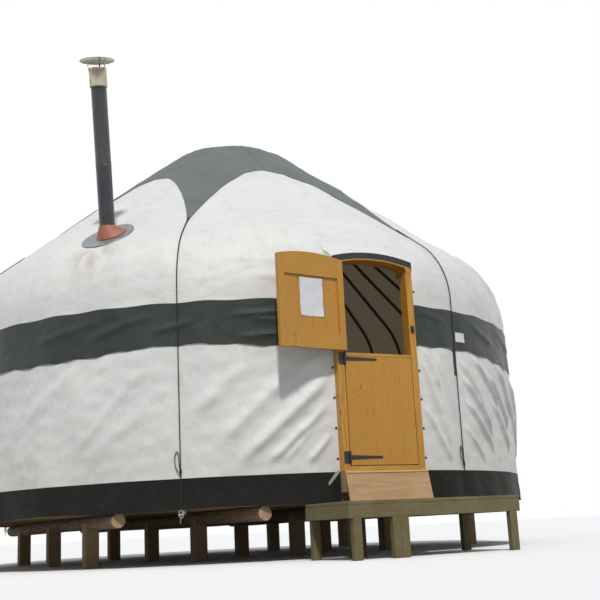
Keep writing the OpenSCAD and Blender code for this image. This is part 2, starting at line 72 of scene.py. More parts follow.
def swept(path, sides, section):
    """A solid along path. section(i, turn) gives the radius and the angle of a corner at the path's point i."""
    p = np.array(path, float)
    t = np.gradient(p, axis=0)
    t /= np.linalg.norm(t, axis=1)[:, None]
    u = np.cross(t[0], (0.0, 0.0, 1.0) if abs(t[0][2]) < 0.9 else (1.0, 0.0, 0.0))
    verts = []
    for i in range(len(p)):
        u = u - t[i] * np.dot(u, t[i])
        u /= np.linalg.norm(u)
        w = np.cross(t[i], u)
        for k in range(sides):
            r, a = section(i, 2 * math.pi * k / sides)
            verts.append(p[i] + r * (math.cos(a) * u + math.sin(a) * w))
    return verts, prism_faces(len(p), sides)


def tube(path, radius, sides):
    """A round tube along path. radius is one number or one for each point."""
    rad = np.broadcast_to(np.asarray(radius, float), (len(path),))
    return swept(path, sides, lambda i, a: (rad[i], a))


def mesh_object(name, verts, edges, faces, vectors):
    """A mesh object in the scene. vectors holds named lists of one vector for each vertex."""
    me = bpy.data.meshes.new(name)
    me.from_pydata([tuple(map(float, v)) for v in verts], edges, [tuple(map(int, f)) for f in faces])
    for k, v in vectors.items():
        me.attributes.new(k, "FLOAT_VECTOR", "POINT").data.foreach_set("vector", np.asarray(v, float).ravel())
    obj = bpy.data.objects.new(name, me)
    bpy.context.scene.collection.objects.link(obj)
    return obj


def edited(obj, change):
    """Opens an object's mesh, lets change work on it and writes it back."""
    bm = bmesh.new()
    bm.from_mesh(obj.data)
    change(bm)
    bm.to_mesh(obj.data)
    bm.free()


def outwards(bm):
    bmesh.ops.recalc_face_normals(bm, faces=bm.faces)


def finished(obj, body, angle):
    """Turns a mesh's faces outwards, shades it smooth up to that angle and lets it ride on a body."""
    def shade(bm):
        outwards(bm)
        for f in bm.faces:
            f.smooth = True
        for e in bm.edges:
            e.smooth = not (len(e.link_faces) == 2 and e.calc_face_angle(0) > math.radians(angle))

    edited(obj, shade)
    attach(obj, body)
    return obj


def piece(name, verts, faces, mat, body="building", grain=None, angle=40):
    """A mesh that rides on a body. grain is one point for each vertex, in the wood's own axes."""
    obj = mesh_object(name, verts, [], faces, {} if grain is None else {"grain": grain})
    obj.data.validate()
    obj.data.materials.append(mat)
    return finished(obj, body, angle)


def merged(parts):
    """One list of vertices and faces, and of grain points if there are any, from several."""
    verts, faces, grain = [], [], []
    for q in parts:
        n = len(verts)
        verts.extend(q[0])
        faces.extend(tuple(i + n for i in f) for f in q[1])
        if len(q) > 2:
            grain.extend(q[2])
    return (verts, faces, grain) if grain else (verts, faces)


def node(nt, kind, props=None, **inputs):
    """One node of a tree; an input is a value or another node's socket, and i0, i1 go by number."""
    n = nt.nodes.new(kind if "Node" in kind else "ShaderNode" + kind)
    for k, v in (props or {}).items():
        setattr(n, k, v)
    for k, v in inputs.items():
        by_name = [q for q in n.inputs if q.name == k.replace("_", " ") and q.enabled]
        s = n.inputs[int(k[1:])] if k[0] == "i" and k[1:].isdigit() else by_name[0]
        if isinstance(v, bpy.types.NodeSocket):
            nt.links.new(v, s)
        else:
            s.default_value = v
    return n


def material(name, rough, **sockets):
    """A material, its node tree, its shader, and the object's own coordinates."""
    m = bpy.data.materials.new(name)
    m.use_nodes = True
    nt = m.node_tree
    b = nt.nodes["Principled BSDF"]
    b.inputs["Roughness"].default_value = rough
    for k, v in sockets.items():
        b.inputs[k.replace("_", " ")].default_value = v
    return m, nt, b, node(nt, "TexCoord").outputs["Object"]


def scaled(nt, vec, x, y, z):
    return node(nt, "VectorMath", {"operation": "MULTIPLY"}, i0=vec, i1=(x, y, z)).outputs[0]


def noise(nt, vec, scale, detail=3.0, rough=0.55, distort=0.0):
    n = node(nt, "TexNoise", Vector=vec, Scale=scale, Detail=detail, Roughness=rough, Distortion=distort)
    return n.outputs["Fac"]


def ramp(nt, fac, *stops):
    """Colours or greys by height; each stop is (place, grey or colour)."""
    n = node(nt, "ValToRGB", Fac=fac)
    el = n.color_ramp.elements
    while len(el) < len(stops):
        el.new(0.5)
    for e, (at, c) in zip(el, stops):
        e.position = at
        e.color = (c, c, c, 1) if isinstance(c, (int, float)) else (*c, 1)
    return n.outputs["Color"]


def mix(nt, fac, a, b):
    n = nt.nodes.new("ShaderNodeMix")
    n.data_type = "RGBA"
    for s, v in ((n.inputs[0], fac), (n.inputs[6], a), (n.inputs[7], b)):
        if isinstance(v, bpy.types.NodeSocket):
            nt.links.new(v, s)
        else:
            s.default_value = v if isinstance(v, (int, float)) else (*v, 1)
    return n.outputs[2]


def math_node(nt, op, a, b=0.0):
    return node(nt, "Math", {"operation": op}, i0=a, i1=b).outputs[0]


def finish_material(nt, shader, colour, rough, *bumps):
    """Links the colour, the roughness and a chain of bumps, each (height, strength, distance in metres)."""
    nt.links.new(colour, shader.inputs["Base Color"])
    if rough is not None:
        nt.links.new(rough, shader.inputs["Roughness"])
    last = None
    for height, strength, distance in bumps:
        n = node(nt, "Bump", Height=height, Strength=strength, Distance=distance)
        if last is not None:
            nt.links.new(last, n.inputs["Normal"])
        last = n.outputs["Normal"]
    if last is not None:
        nt.links.new(last, shader.inputs["Normal"])


def rope_material(name, light, dark):
    m, nt, b, co = material(name, 0.9)
    c = ramp(nt, noise(nt, co, 55, 4), (0.3, dark), (0.7, light))
    finish_material(nt, b, c, None, (noise(nt, co, 900, 2), 0.6, 0.001))
    return m


pale_cord = rope_material("pale_cord", (0.52, 0.47, 0.38), (0.34, 0.30, 0.23))
HINGE = Vector((-0.307, -2.739, 0))
OPEN = math.radians(-173)


def swung(p):
    """A point of the closed top leaf, as the leaf stands open."""
    return Matrix.Rotation(OPEN, 3, "Z") @ (Vector(p) - HINGE) + HINGE


CORD_TOP = Vector((0.163, -2.682, 1.638))
line = [swung(CORD_TOP - Vector((0, 0, 0.1 * k / 19))) for k in range(20)]
cord = piece("leaf_tie_cord", *tube(line, 0.003, 10), pale_cord, "door_top_leaf")
parts = [tube([swung(CORD_TOP + Vector((0, y, 0))) for y in (-0.0118, -0.004, 0.0)], 0.0022, 8)]
BALL = ((-1, 0.1), (-0.8, 0.62), (-0.4, 0.93), (0, 1), (0.4, 0.90), (0.8, 0.62), (1, 0.1))
for z, r in ((0.0, 0.0058), (-0.1, 0.0070)):
    parts.append(tube([swung(CORD_TOP + Vector((0, 0, z + h * r))) for h, _ in BALL], [w * r for _, w in BALL], 12))
knots = piece("leaf_cord_knots", *merged(parts), pale_cord, "door_top_leaf")
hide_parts("leaf_cord")

# Floor and light
# A plain pale floor and a white background that the camera sees. One soft lamp stands for the sun, high in
# front and to the left, and the plain sky fills the shade.
bpy.ops.mesh.primitive_plane_add(size=400, location=(0, 0, -0.002))
ground = bpy.context.object
ground.name = "ground"
m, nt, b, co = material("ground", 0.9)
seen = node(nt, "LightPath").outputs["Is Camera Ray"]
nt.links.new(mix(nt, seen, (0.42, 0.42, 0.40), (0.98, 0.98, 0.98)), b.inputs["Base Color"])
ground.data.materials.append(m)

sun_data = bpy.data.lights.new("sun", "SUN")
sun_data.energy = 2.4
sun_data.angle = math.radians(4)
sun_data.color = (1.0, 0.97, 0.92)
sun = bpy.data.objects.new("sun", sun_data)
bpy.context.scene.collection.objects.link(sun)
sun.rotation_euler = Vector((0.24, 0.56, -0.79)).to_track_quat("-Z", "Y").to_euler()

bpy.context.scene.view_settings.view_transform = "Standard"
world = bpy.data.worlds.new("world")
bpy.context.scene.world = world
world.use_nodes = True
nt = world.node_tree
path = node(nt, "LightPath")
seen = math_node(nt, "MAXIMUM", path.outputs["Is Camera Ray"], path.outputs["Is Transmission Ray"])
seen = math_node(nt, "MAXIMUM", seen, path.outputs["Is Glossy Ray"])
sky = node(nt, "Background", Color=(0.80, 0.88, 1.0, 1), Strength=0.37)
white = node(nt, "Background", Color=(1, 1, 1, 1), Strength=1.0)
both = node(nt, "MixShader", i0=seen, i1=sky.outputs[0], i2=white.outputs[0])
nt.links.new(both.outputs[0], nt.nodes["World Output"].inputs["Surface"])

# Canvas roof
# One skin of white canvas from the dome down to under the eaves band, cut round the arched door head and
# the flue. It is drawn over the poles by seven storm ropes, and folds run between them.

# wall radius, eaves height, radius of the bend at the eaves, roof slope, crown radius, radius of the dome
R, EAVES, BEND, SLOPE, CROWN, DOME = 2.70, 2.046, 0.675, math.radians(38), 0.594, 1.25111
TURN = math.pi / 2 - SLOPE
# lengths up the skin: the end of the bend, the crown's edge, the top, and the little rim round the top
L_BEND = EAVES + BEND * TURN
L_CROWN = L_BEND + (R - BEND + BEND * math.cos(TURN) - CROWN) / math.cos(SLOPE)
L_TOP = L_CROWN + DOME * math.asin(CROWN / DOME)
L_RIM = L_TOP - 0.015
Z_CROWN = EAVES + BEND * math.sin(TURN) + (L_CROWN - L_BEND) * math.sin(SLOPE)
HALF_BAY = 180 / 7
ROPES = [18.3 + 2 * HALF_BAY * i for i in range(7)]
FLUE = (-50, 2.803)
WALL_TOP, CLOTH = 1.78, 0.0015
# door frame: half its width, and the radius and centre of its arched top
FRAME_HALF, ARCH_R, ARCH_Z = 0.367, 1.37189, 0.96311
DOOR_AZ = math.degrees(math.asin(0.369 / R))


def on_skin(az, length, off=0.0):
    """Points on the tent at a turn from the door, in degrees, and a length up the skin, where a length
    on the wall is the height above the ground."""
    az, s, off = np.broadcast_arrays(np.asarray(az, float), np.asarray(length, float), np.asarray(off, float))
    t = np.clip((s - EAVES) / BEND, 0, TURN)
    run = np.clip(s - L_BEND, 0, L_CROWN - L_BEND)
    up = np.clip(s - L_CROWN, 0, L_TOP - L_CROWN)
    r = R - BEND + BEND * np.cos(t) - run * math.cos(SLOPE)
    z = np.minimum(s, EAVES) + BEND * np.sin(t) + run * math.sin(SLOPE)
    edge = math.asin(CROWN / DOME)
    th = edge - up / DOME
    dome = s > L_CROWN
    r = np.where(dome, DOME * np.sin(th), r)
    z = np.where(dome, Z_CROWN + DOME * (np.cos(th) - math.cos(edge)), z)
    lean = np.where(dome, th, math.pi / 2 - t)
    r = np.maximum(r + off * np.sin(lean), 0)
    z = z + off * np.cos(lean)
    a = np.radians(az)
    return np.stack([r * np.sin(a), -r * np.cos(a), z], -1)


def waves(p, size, seed, count=7):
    """Smooth noise from about -1 to 1: several sine waves in seeded directions, of about that wavelength."""
    rng = np.random.default_rng(seed)
    total = np.zeros(p.shape[:-1])
    for k in range(count):
        d = rng.normal(size=3)
        d /= np.linalg.norm(d)
        total += np.sin(p @ d * 2 * math.pi / size * rng.uniform(0.7, 1.5) + rng.uniform(0, 6.28))
    return total / math.sqrt(count)


def turn_from(az, a):
    return (np.asarray(az, float) - a + 180) % 360 - 180


def folds(az, s, rows):
    """Soft ridges on the cloth. A row gives a fold's two ends, each a turn and a length up the skin, then its
    width in metres and its height in millimetres."""
    total = 0
    for a0, s0, a1, s1, width, high in rows:
        x, y = np.radians(turn_from(az, a0)) * R, s - s0
        dx, dy = math.radians(a1 - a0) * R, s1 - s0
        n = math.hypot(dx, dy)
        along, across = (x * dx + y * dy) / n ** 2, (y * dx - x * dy) / n
        ends = np.clip(along * 4, 0, 1) * np.clip((1 - along) * 4, 0, 1)
        ends = ends * ends * (3 - 2 * ends)
        total = total + high * 0.001 * ends * np.exp(-(across / width) ** 2)
    return total


FOLDS = [(-8, 1.38, -25, 0.67, 0.045, 32), (-15, 1.38, -28, 0.82, 0.052, 22), (-8.5, 1.55, -19, 1.20, 0.055, 24),
         (-8.5, 0.93, -13.5, 0.68, 0.026, 20), (-9, 1.14, -20, 0.68, 0.030, 22), (-21, 1.50, -31, 1.08, 0.060, 14),
         (-12, 0.95, -17, 0.70, 0.020, 10),
         (-26, 1.30, -37, 0.84, 0.070, 14), (-37, 1.22, -50, 0.74, 0.055, 13), (-50, 1.52, -66, 1.02, 0.055, 14),
         (8.5, 1.62, 15.5, 0.74, 0.030, 38), (10, 1.62, 13.5, 1.26, 0.022, 24), (12.5, 1.62, 17.5, 1.00, 0.024, 32),
         (9, 1.16, 15.5, 0.66, 0.026, 28), (18.5, 1.60, 27, 1.10, 0.020, 38), (19, 1.44, 30, 0.90, 0.020, 40),
         (19.5, 1.24, 30, 0.76, 0.019, 36), (19, 1.02, 26, 0.68, 0.018, 26), (23, 1.60, 34, 1.16, 0.020, 34),
         (28, 1.50, 40, 0.98, 0.020, 36), (29, 1.26, 39, 0.78, 0.020, 34), (33, 1.60, 44, 1.12, 0.024, 34),
         (38, 1.46, 50, 0.90, 0.026, 32), (44, 1.55, 58, 0.86, 0.030, 32), (48, 1.24, 60, 0.70, 0.030, 28),
         (-38, 1.50, -52, 0.80, 0.04, 12), (-58, 1.55, -70, 0.75, 0.04, 12),
         (-12, 2.35, -24, 2.45, 0.02, 9), (-10, 2.25, -27, 2.30, 0.018, 10), (-9, 2.15, -22, 2.12, 0.016, 9),
         (-14, 2.6, -32, 2.72, 0.03, 9), (2, 3.1, 15, 2.75, 0.05, 18), (8, 2.9, 17, 2.4, 0.03, 18),
         (20, 2.9, 33, 2.35, 0.03, 22), (28, 2.7, 42, 2.2, 0.03, 24), (38, 2.8, 55, 2.25, 0.03, 20),
         (-54, 2.35, -43, 2.75, 0.03, 8), (-47, 2.2, -40, 2.7, 0.02, 8), (-60, 2.3, -55, 2.7, 0.03, 8)]


def relief(az, s):
    """How far the cloth stands out from the tent's true surface, in metres: folds, slack between the ropes
    and poles, and nothing where a rope, the door frame or the flue plate holds it."""
    near_rope, near_door, near_flue = 0.11, 0.075, 0.36
    door_half, door_top = 0.37, 2.42
    az, s = np.broadcast_arrays(np.asarray(az, float), np.asarray(s, float))
    p = on_skin(az, s)
    r = np.hypot(p[..., 0], p[..., 1])
    held = np.ones(az.shape)
    for a in ROPES:
        held = np.minimum(held, 1 - np.exp(-(np.radians(turn_from(az, a)) * r / near_rope) ** 2))
    door = np.hypot(np.maximum(np.abs(p[..., 0]) - door_half, 0), np.maximum(p[..., 2] - door_top, 0))
    door = np.where(p[..., 1] < 0, door, 9)
    held = np.minimum(held, 1 - np.exp(-(door / near_door) ** 2))
    flue = np.linalg.norm(p - on_skin(*FLUE), axis=-1)
    held = np.minimum(held, 1 - np.exp(-(flue / near_flue) ** 4))
    held = held * np.clip((L_TOP - s) / 0.8, 0, 1)
    low = 0.5 + 0.5 * waves(p, 0.62, 3)
    fine = 0.5 + 0.5 * waves(p * [1, 1, 2.2], 0.23, 5, 9)
    # on the wall, long soft folds hang from the band; on the roof the cloth sinks between the poles
    wall = np.clip((EAVES + 0.1 - s) / 0.3, 0, 1)
    hang = 0.5 + 0.5 * np.sin(np.radians(az) * 22 + 1.4 * waves(p, 0.9, 8))
    sag = np.abs(np.sin(np.radians(az) * 21))
    out = 0.010 * low + 0.0035 * fine + wall * 0.008 * hang + (1 - wall) * 0.005 * (1 - sag)
    return (out + folds(az, s, FOLDS)) * held


def sheet_faces(rows, cols, ring=False):
    """Faces of a closed thin sheet: two equal grids of vertices, one behind the other, and the rim between
    them. In a ring the last column meets the first."""
    n, cells = rows * cols, np.arange(cols if ring else cols - 1)
    i, j = (q.ravel() for q in np.meshgrid(np.arange(rows - 1), cells, indexing="ij"))
    k = (j + 1) % cols
    quad = np.stack([i * cols + j, i * cols + k, (i + 1) * cols + k, (i + 1) * cols + j], -1)
    low = np.stack([(cells + 1) % cols, cells], -1)
    edges = [low, low[:, ::-1] + (rows - 1) * cols]
    if not ring:
        left = np.arange(rows - 1)[:, None] * cols + [0, cols]
        edges += [left, left[:, ::-1] + cols - 1]
    e = np.concatenate(edges)
    return np.concatenate([quad, quad[:, ::-1] + n, np.stack([e[:, 0], e[:, 1], e[:, 1] + n, e[:, 0] + n], -1)])


def shell(name, az, s, off, thick, mat, ring=False, extra=0, loose=1):
    """A closed thin sheet on the skin from a grid of turns and lengths, which rides on the building. loose is
    the share of the canvas's folds that it follows."""
    az, s = np.broadcast_arrays(az, s)
    out = relief(az, s) * loose + off + extra
    verts = [on_skin(az, s, q).reshape(-1, 3) for q in (out, out - thick)]
    return piece(name, np.concatenate(verts), sheet_faces(*az.shape, ring), mat)


def close_top(obj):
    """Takes away the little rim round the middle of a dome and closes both of its skins."""
    def close(bm):
        rim = {v for v in bm.verts if math.hypot(v.co.x, v.co.y) < 0.02}
        bmesh.ops.delete(bm, geom=[f for f in bm.faces if all(v in rim for v in f.verts)], context="FACES_ONLY")
        bmesh.ops.holes_fill(bm, edges=[e for e in bm.edges if e.is_boundary], sides=0)

    edited(obj, close)


def bake(obj):
    """Applies an object's modifiers to its mesh."""
    dg = bpy.context.evaluated_depsgraph_get()
    new = bpy.data.meshes.new_from_object(obj.evaluated_get(dg))
    obj.modifiers.clear()
    obj.data = new


x = np.linspace(FRAME_HALF + 0.002, -FRAME_HALF - 0.002, 25)
outline = [(x[-1], 0.1), (x[0], 0.1), *zip(x, ARCH_Z + np.sqrt((ARCH_R + 0.0915) ** 2 - x * x))]
doorway = [(x, y, z) for y in (-3.4, -1.9) for x, z in outline], prism_faces(2, len(outline))
flue_hole = tube([(-1.783, -1.496, z) for z in (2.3, 3.1)], 0.115, 48)


def cut_openings(cloth):
    """Cuts the arched doorway and the flue's hole out of a cloth, and leaves no modifier on it."""
    for verts, faces in (doorway, flue_hole):
        tool = mesh_object("cutter", verts, [], faces, {})
        edited(tool, outwards)
        mod = cloth.modifiers.new("cut", "BOOLEAN")
        mod.operation, mod.solver, mod.object = "DIFFERENCE", "EXACT", tool
        bake(cloth)
        bpy.data.objects.remove(tool)


def times(nt, a, b):
    return math_node(nt, "MULTIPLY", a, b)


def mapped(nt, value, from_low, from_high, to_low, to_high):
    return node(nt, "MapRange", Value=value, i1=from_low, i2=from_high, i3=to_low, i4=to_high).outputs[0]


def length_of(nt, vec):
    return node(nt, "VectorMath", {"operation": "LENGTH"}, i0=vec).outputs["Value"]


def canvas_material(name, base, shade, dirt, dirty_below=0.0, rough=0.85, sheen=0.15, stain_at=None, shine=0.2):
    """Woven canvas: cloudy fading, creases, a fine weave, dirt that thickens towards the hem, and a run of
    brown stain below one place."""
    m, nt, b, co = material(name, rough, Sheen_Weight=sheen, Sheen_Roughness=0.5, Specular_IOR_Level=shine)
    c = mix(nt, ramp(nt, noise(nt, co, 1.7, 5, 0.6), (0.35, 0.0), (0.75, 1.0)), base, shade)
    spots = ramp(nt, noise(nt, co, 9, 6, 0.7), (0.52, 0.0), (0.80, 0.55))
    c = mix(nt, spots, c, dirt)
    if dirty_below:
        z = node(nt, "SeparateXYZ", i0=co).outputs[2]
        low = mapped(nt, z, dirty_below, dirty_below - 0.45, 0.0, 0.5)
        c = mix(nt, times(nt, low, noise(nt, scaled(nt, co, 1, 1, 0.35), 7, 5, 0.65)), c, dirt)
    if stain_at:
        off = node(nt, "VectorMath", {"operation": "SUBTRACT"}, i0=co, i1=stain_at).outputs[0]
        near = mapped(nt, length_of(nt, scaled(nt, off, 3.4, 3.4, 2.6)), 1.0, 0.15, 0.0, 0.75)
        runs = ramp(nt, noise(nt, scaled(nt, co, 9, 9, 1.6), 1.0, 4, 0.6), (0.42, 0.0), (0.68, 1.0))
        c = mix(nt, times(nt, near, runs), c, (0.42, 0.33, 0.20))
    crease = noise(nt, co, 7, 5, 0.5, 0.6)
    weave = noise(nt, co, 520, 2, 0.8)
    finish_material(nt, b, c, None, (crease, 0.6, 0.014), (weave, 0.25, 0.0008))
    return m


white_canvas = canvas_material("white_canvas", (0.78, 0.78, 0.76), (0.70, 0.71, 0.70), (0.50, 0.48, 0.42), 1.15,
                               0.58, stain_at=(-1.99, -1.69, 2.46), shine=0.5)
# the front has finer steps, up to 64 degrees from the door on either side
az, s = np.meshgrid(np.concatenate([np.linspace(-64, 64, 257), np.linspace(64, 296, 105)[1:-1]]),
                    np.concatenate([np.linspace(WALL_TOP, L_BEND, 34), np.linspace(L_BEND, L_CROWN, 60)[1:],
                                    np.linspace(L_CROWN, L_RIM, 16)[1:]]))
roof = shell("roof_skin", az, s, 0.0, CLOTH, white_canvas, ring=True)
close_top(roof)
cut_openings(roof)
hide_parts("roof_canvas")

# Canvas wall
# The wall is one long strip of the same canvas, hung from under the band and laced shut at the back.
# Its edges are turned over a hem beside the door and fixed to the frame with dark studs.
WALL_LOW = 0.60
for side, node_name in ((-1, "wall_canvas_left"), (1, "wall_canvas_right")):
    turns = np.append(np.linspace(DOOR_AZ, 64, 250), np.linspace(65.2, 180, 96)) * side
    az, s = np.meshgrid(turns, np.linspace(WALL_LOW, WALL_TOP, 105))
    wall = shell("wall_skin_" + node_name[12:], az, s, 0.0, CLOTH, white_canvas)
    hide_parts(node_name)
    az, s = np.meshgrid(np.linspace(DOOR_AZ, DOOR_AZ + 0.75, 4) * side, np.linspace(WALL_LOW, 2.2, 60))
    hem = shell("door_hem_" + node_name[12:], az, s, 0.0017, CLOTH, white_canvas)
az, s = np.meshgrid(np.linspace(178.6, 181.4, 7), np.linspace(WALL_LOW, WALL_TOP, 50))
lap = shell("back_lap", az, s, 0.002, CLOTH, white_canvas)

# Lining
# A dark brown-grey cotton lining hangs inside the canvas, on the poles and the trellis, so that the wood
# stands out against it through the open top leaf.
lining_cloth = canvas_material("lining_cloth", (0.21, 0.18, 0.15), (0.17, 0.15, 0.125), (0.12, 0.105, 0.09),
                               0, 0.9, 0.3)
# a faint glow stands for the daylight that comes through the canvas
glow = lining_cloth.node_tree.nodes["Principled BSDF"].inputs
glow["Emission Color"].default_value = (1.0, 0.80, 0.58, 1)
glow["Emission Strength"].default_value = 0.065
LINING_OFF = -0.0085
az, s = np.meshgrid(np.linspace(-180, 180, 253)[:-1],
                    np.concatenate([np.linspace(1.782, L_CROWN, 60), np.linspace(L_CROWN, L_RIM, 10)[1:]]))
between_poles = 0.003 * np.abs(np.sin(np.radians(az) * 21)) * np.clip((s - 1.9) * 3, 0, 1)
lining = shell("roof_lining_cloth", az, s, LINING_OFF, 0.002, lining_cloth, True, between_poles, loose=0)
close_top(lining)
cut_openings(lining)
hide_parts("roof_lining")
az, s = np.meshgrid(np.linspace(DOOR_AZ, 360 - DOOR_AZ, 300), np.linspace(0.625, 1.779, 12))
wall_cloth = shell("wall_lining_cloth", az, s, LINING_OFF, 0.002, lining_cloth, loose=0)
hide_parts("wall_lining")

# Eaves band
# A strip of dark green canvas goes round under the eaves over the joint between roof and wall, hemmed at both
# edges and a little slack between the ropes. A small blank patch of white canvas is sewn to it right of the
# door, and a dark tab hangs from it under the rope there.
green_canvas = canvas_material("green_canvas", (0.034, 0.043, 0.039), (0.048, 0.058, 0.053), (0.08, 0.08, 0.068),
                               0, 0.62, 0.2)
turns = np.linspace(DOOR_AZ, 360 - DOOR_AZ, 560)
to_rope = np.min([np.abs(turn_from(turns, a)) for a in ROPES], axis=0)
slack = 0.045 * np.sin(np.clip(np.clip(to_rope / 25.7, 0, 1) * 1.15, 0, 1) * math.pi / 2) ** 2
slack = np.where(np.abs(turn_from(turns, 8)) < 12, 0.0, slack)
low = 1.615 - slack + 0.006 * np.sin(turns * 0.9) + 0.0015 * np.sin(turns * 2.3 + 1)
high = 1.945 + 0.004 * np.sin(turns * 0.7 + 2)
az, part = np.meshgrid(turns, np.linspace(0, 1, 22))
s = low + (high - low) * part
BAND_FOLDS = [(-9, 1.86, -26, 1.82, 0.022, 18), (-9, 1.76, -22, 1.79, 0.016, 15), (-10, 1.70, -24, 1.65, 0.02, 17),
              (9, 1.90, 16, 1.84, 0.02, 12), (24, 1.85, 34, 1.72, 0.03, 16), (-36, 1.88, -50, 1.70, 0.03, 15),
              (-30, 1.80, -38, 1.72, 0.025, 14), (-46, 1.86, -60, 1.74, 0.03, 14), (36, 1.88, 48, 1.74, 0.03, 15)]
ripples = 0.006 * (0.5 + 0.5 * np.sin(np.radians(az) * 60 + 3 * np.sin(np.radians(az) * 7))) * (1 - part) ** 2
ripples = ripples + folds(az, s, BAND_FOLDS)
band = shell("eaves_band_cloth", az, s, 0.0035, 0.0018, green_canvas, extra=ripples)
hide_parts("eaves_band")
az, s = np.meshgrid(np.linspace(18.9, 22.1, 12), np.linspace(1.685, 1.765, 8))
patch = shell("band_patch", az, s, 0.0052, 0.0014, white_canvas, extra=0.004 * np.sin(np.radians(az) * 60))
az, s = np.meshgrid(np.linspace(ROPES[0] - 0.42, ROPES[0] + 0.42, 5), np.linspace(1.40, 1.66, 30))
tab = shell("band_tab", az, s, 0.0030, 0.0012, green_canvas)

# Crown cover
# A star of grey-green canvas over the crown ring, with seven deep scallops between long narrow points. It is
# sewn from seven pieces with felled seams and bound at the edge, and on each point lies the end of its rope.
crown_canvas = canvas_material("crown_canvas", (0.135, 0.155, 0.140), (0.170, 0.190, 0.170), (0.09, 0.10, 0.09),
                               0, 0.85, 0.2)
# radius of the edge midway between two points and at a point
STAR_IN, STAR_OUT = 1.205, 2.306


def star_edge(u):
    """Radius of the cover's edge, where u is 0 at a point and 1 midway between two."""
    return STAR_IN + (STAR_OUT - STAR_IN) * (1 - u ** 0.7) ** 2


def length_at(r):
    """Length up the skin where the roof has that radius."""
    return L_BEND + (R - BEND + BEND * math.cos(TURN) - r) / math.cos(SLOPE)


steps = np.concatenate([-(np.linspace(1, 0, 21)[:-1] ** 1.9), np.linspace(0, 1, 21)[:-1] ** 1.9])
star_az = np.concatenate([a + steps * HALF_BAY for a in ROPES])
star_low = np.tile(length_at(star_edge(np.abs(steps))), 7)
az, part = np.meshgrid(star_az, np.concatenate([np.linspace(0, 0.16, 5), np.linspace(0.16, 1, 26)[1:]]))
dome_az, dome_s = np.meshgrid(star_az, np.linspace(L_CROWN, L_RIM, 16)[1:])
az, s = np.concatenate([az, dome_az]), np.concatenate([star_low + (L_CROWN - star_low) * part, dome_s])
cover = shell("crown_cover_cloth", az, s, 0.0042, 0.0018, crown_canvas, ring=True)
close_top(cover)
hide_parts("crown_cover")
az, part = np.meshgrid(star_az, np.linspace(0, 1, 3))
binding = shell("crown_binding", az, star_low + 0.026 * part, 0.0060, 0.0016, crown_canvas, ring=True)
for i, a in enumerate(ROPES):
    line = np.append(np.linspace(length_at(STAR_IN) + 0.03, L_CROWN, 24), np.linspace(L_CROWN, L_TOP - 0.30, 8)[1:])
    side, s = np.meshgrid([-1, 1], line)
    wide = np.degrees(0.007 / np.maximum(np.hypot(*on_skin(a, s)[..., :2].transpose(2, 0, 1)), 0.1))
    seam = shell("crown_seam_%d" % i, a + HALF_BAY + wide * side, s, 0.0058, 0.0014, crown_canvas)

# Skirt
# A strip of nearly black canvas hangs from the floor's edge to just above the ground and keeps the wind out
# from under the floor. It starts on each side of the door.
skirt_canvas = canvas_material("skirt_canvas", (0.006, 0.006, 0.0055), (0.010, 0.010, 0.009), (0.030, 0.027, 0.020),
                               0.66, 0.75, 0.08)
SKIRT_LOW, SKIRT_TOP = 0.397, 0.622
for side, node_name in ((-1, "skirt_left"), (1, "skirt_right")):
    az, part = np.meshgrid(np.linspace(DOOR_AZ, 180, 270) * side, np.linspace(0, 1, 14))
    s = SKIRT_LOW + (SKIRT_TOP - SKIRT_LOW) * part + 0.006 * np.sin(np.radians(az) * 11) * (1 - part)
    loose = 0.010 * (0.5 + 0.5 * np.sin(np.radians(az) * 46 + 2 * np.sin(np.radians(az) * 9))) * (1 - part)
    skirt = shell(node_name + "_cloth", az, s, 0.0035, 0.0018, skirt_canvas, extra=loose)
    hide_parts(node_name)

# Storm ropes
# Seven taut three-strand ropes run from the points of the crown cover down over roof, band and wall to
# galvanised hooks under the floor's edge. They hold the structure, so they aren't loose cords.
dark_rope = rope_material("dark_rope", (0.040, 0.040, 0.036), (0.020, 0.020, 0.018))


def rope(path, radius, lay=0.05):
    """A three-strand rope: its section has three lobes and turns once in each lay of length."""
    p = np.array(path, float)
    gone = np.concatenate([[0], np.cumsum(np.linalg.norm(np.diff(p, axis=0), axis=1))])
    even = np.linspace(0, gone[-1], max(4, int(gone[-1] / (lay / 6))))
    p = np.stack([np.interp(even, gone, p[:, k]) for k in range(3)], -1)
    return swept(p, 9, lambda i, a: (radius * (0.80 + 0.20 * math.cos(3 * a)), a + 2 * math.pi * even[i] / lay))


line = np.linspace(0.37, length_at(STAR_OUT - 0.12), 120)
parts = [rope(on_skin(a, line, 0.0115), 0.0055) for a in ROPES]
ropes = piece("storm_rope_lines", *merged(parts), dark_rope)
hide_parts("storm_ropes")

# Roof poles and trellis
# Ash poles, steam-bent at the eaves, stand on the trellis and rise to the crown ring. The trellis is two
# layers of thin bent laths tied through where they cross. All are oiled and have gone dark.
def plus(nt, a, b):
    return math_node(nt, "ADD", a, b)


def grain_of(nt):
    return node(nt, "Attribute", {"attribute_name": "grain"}).outputs["Vector"]


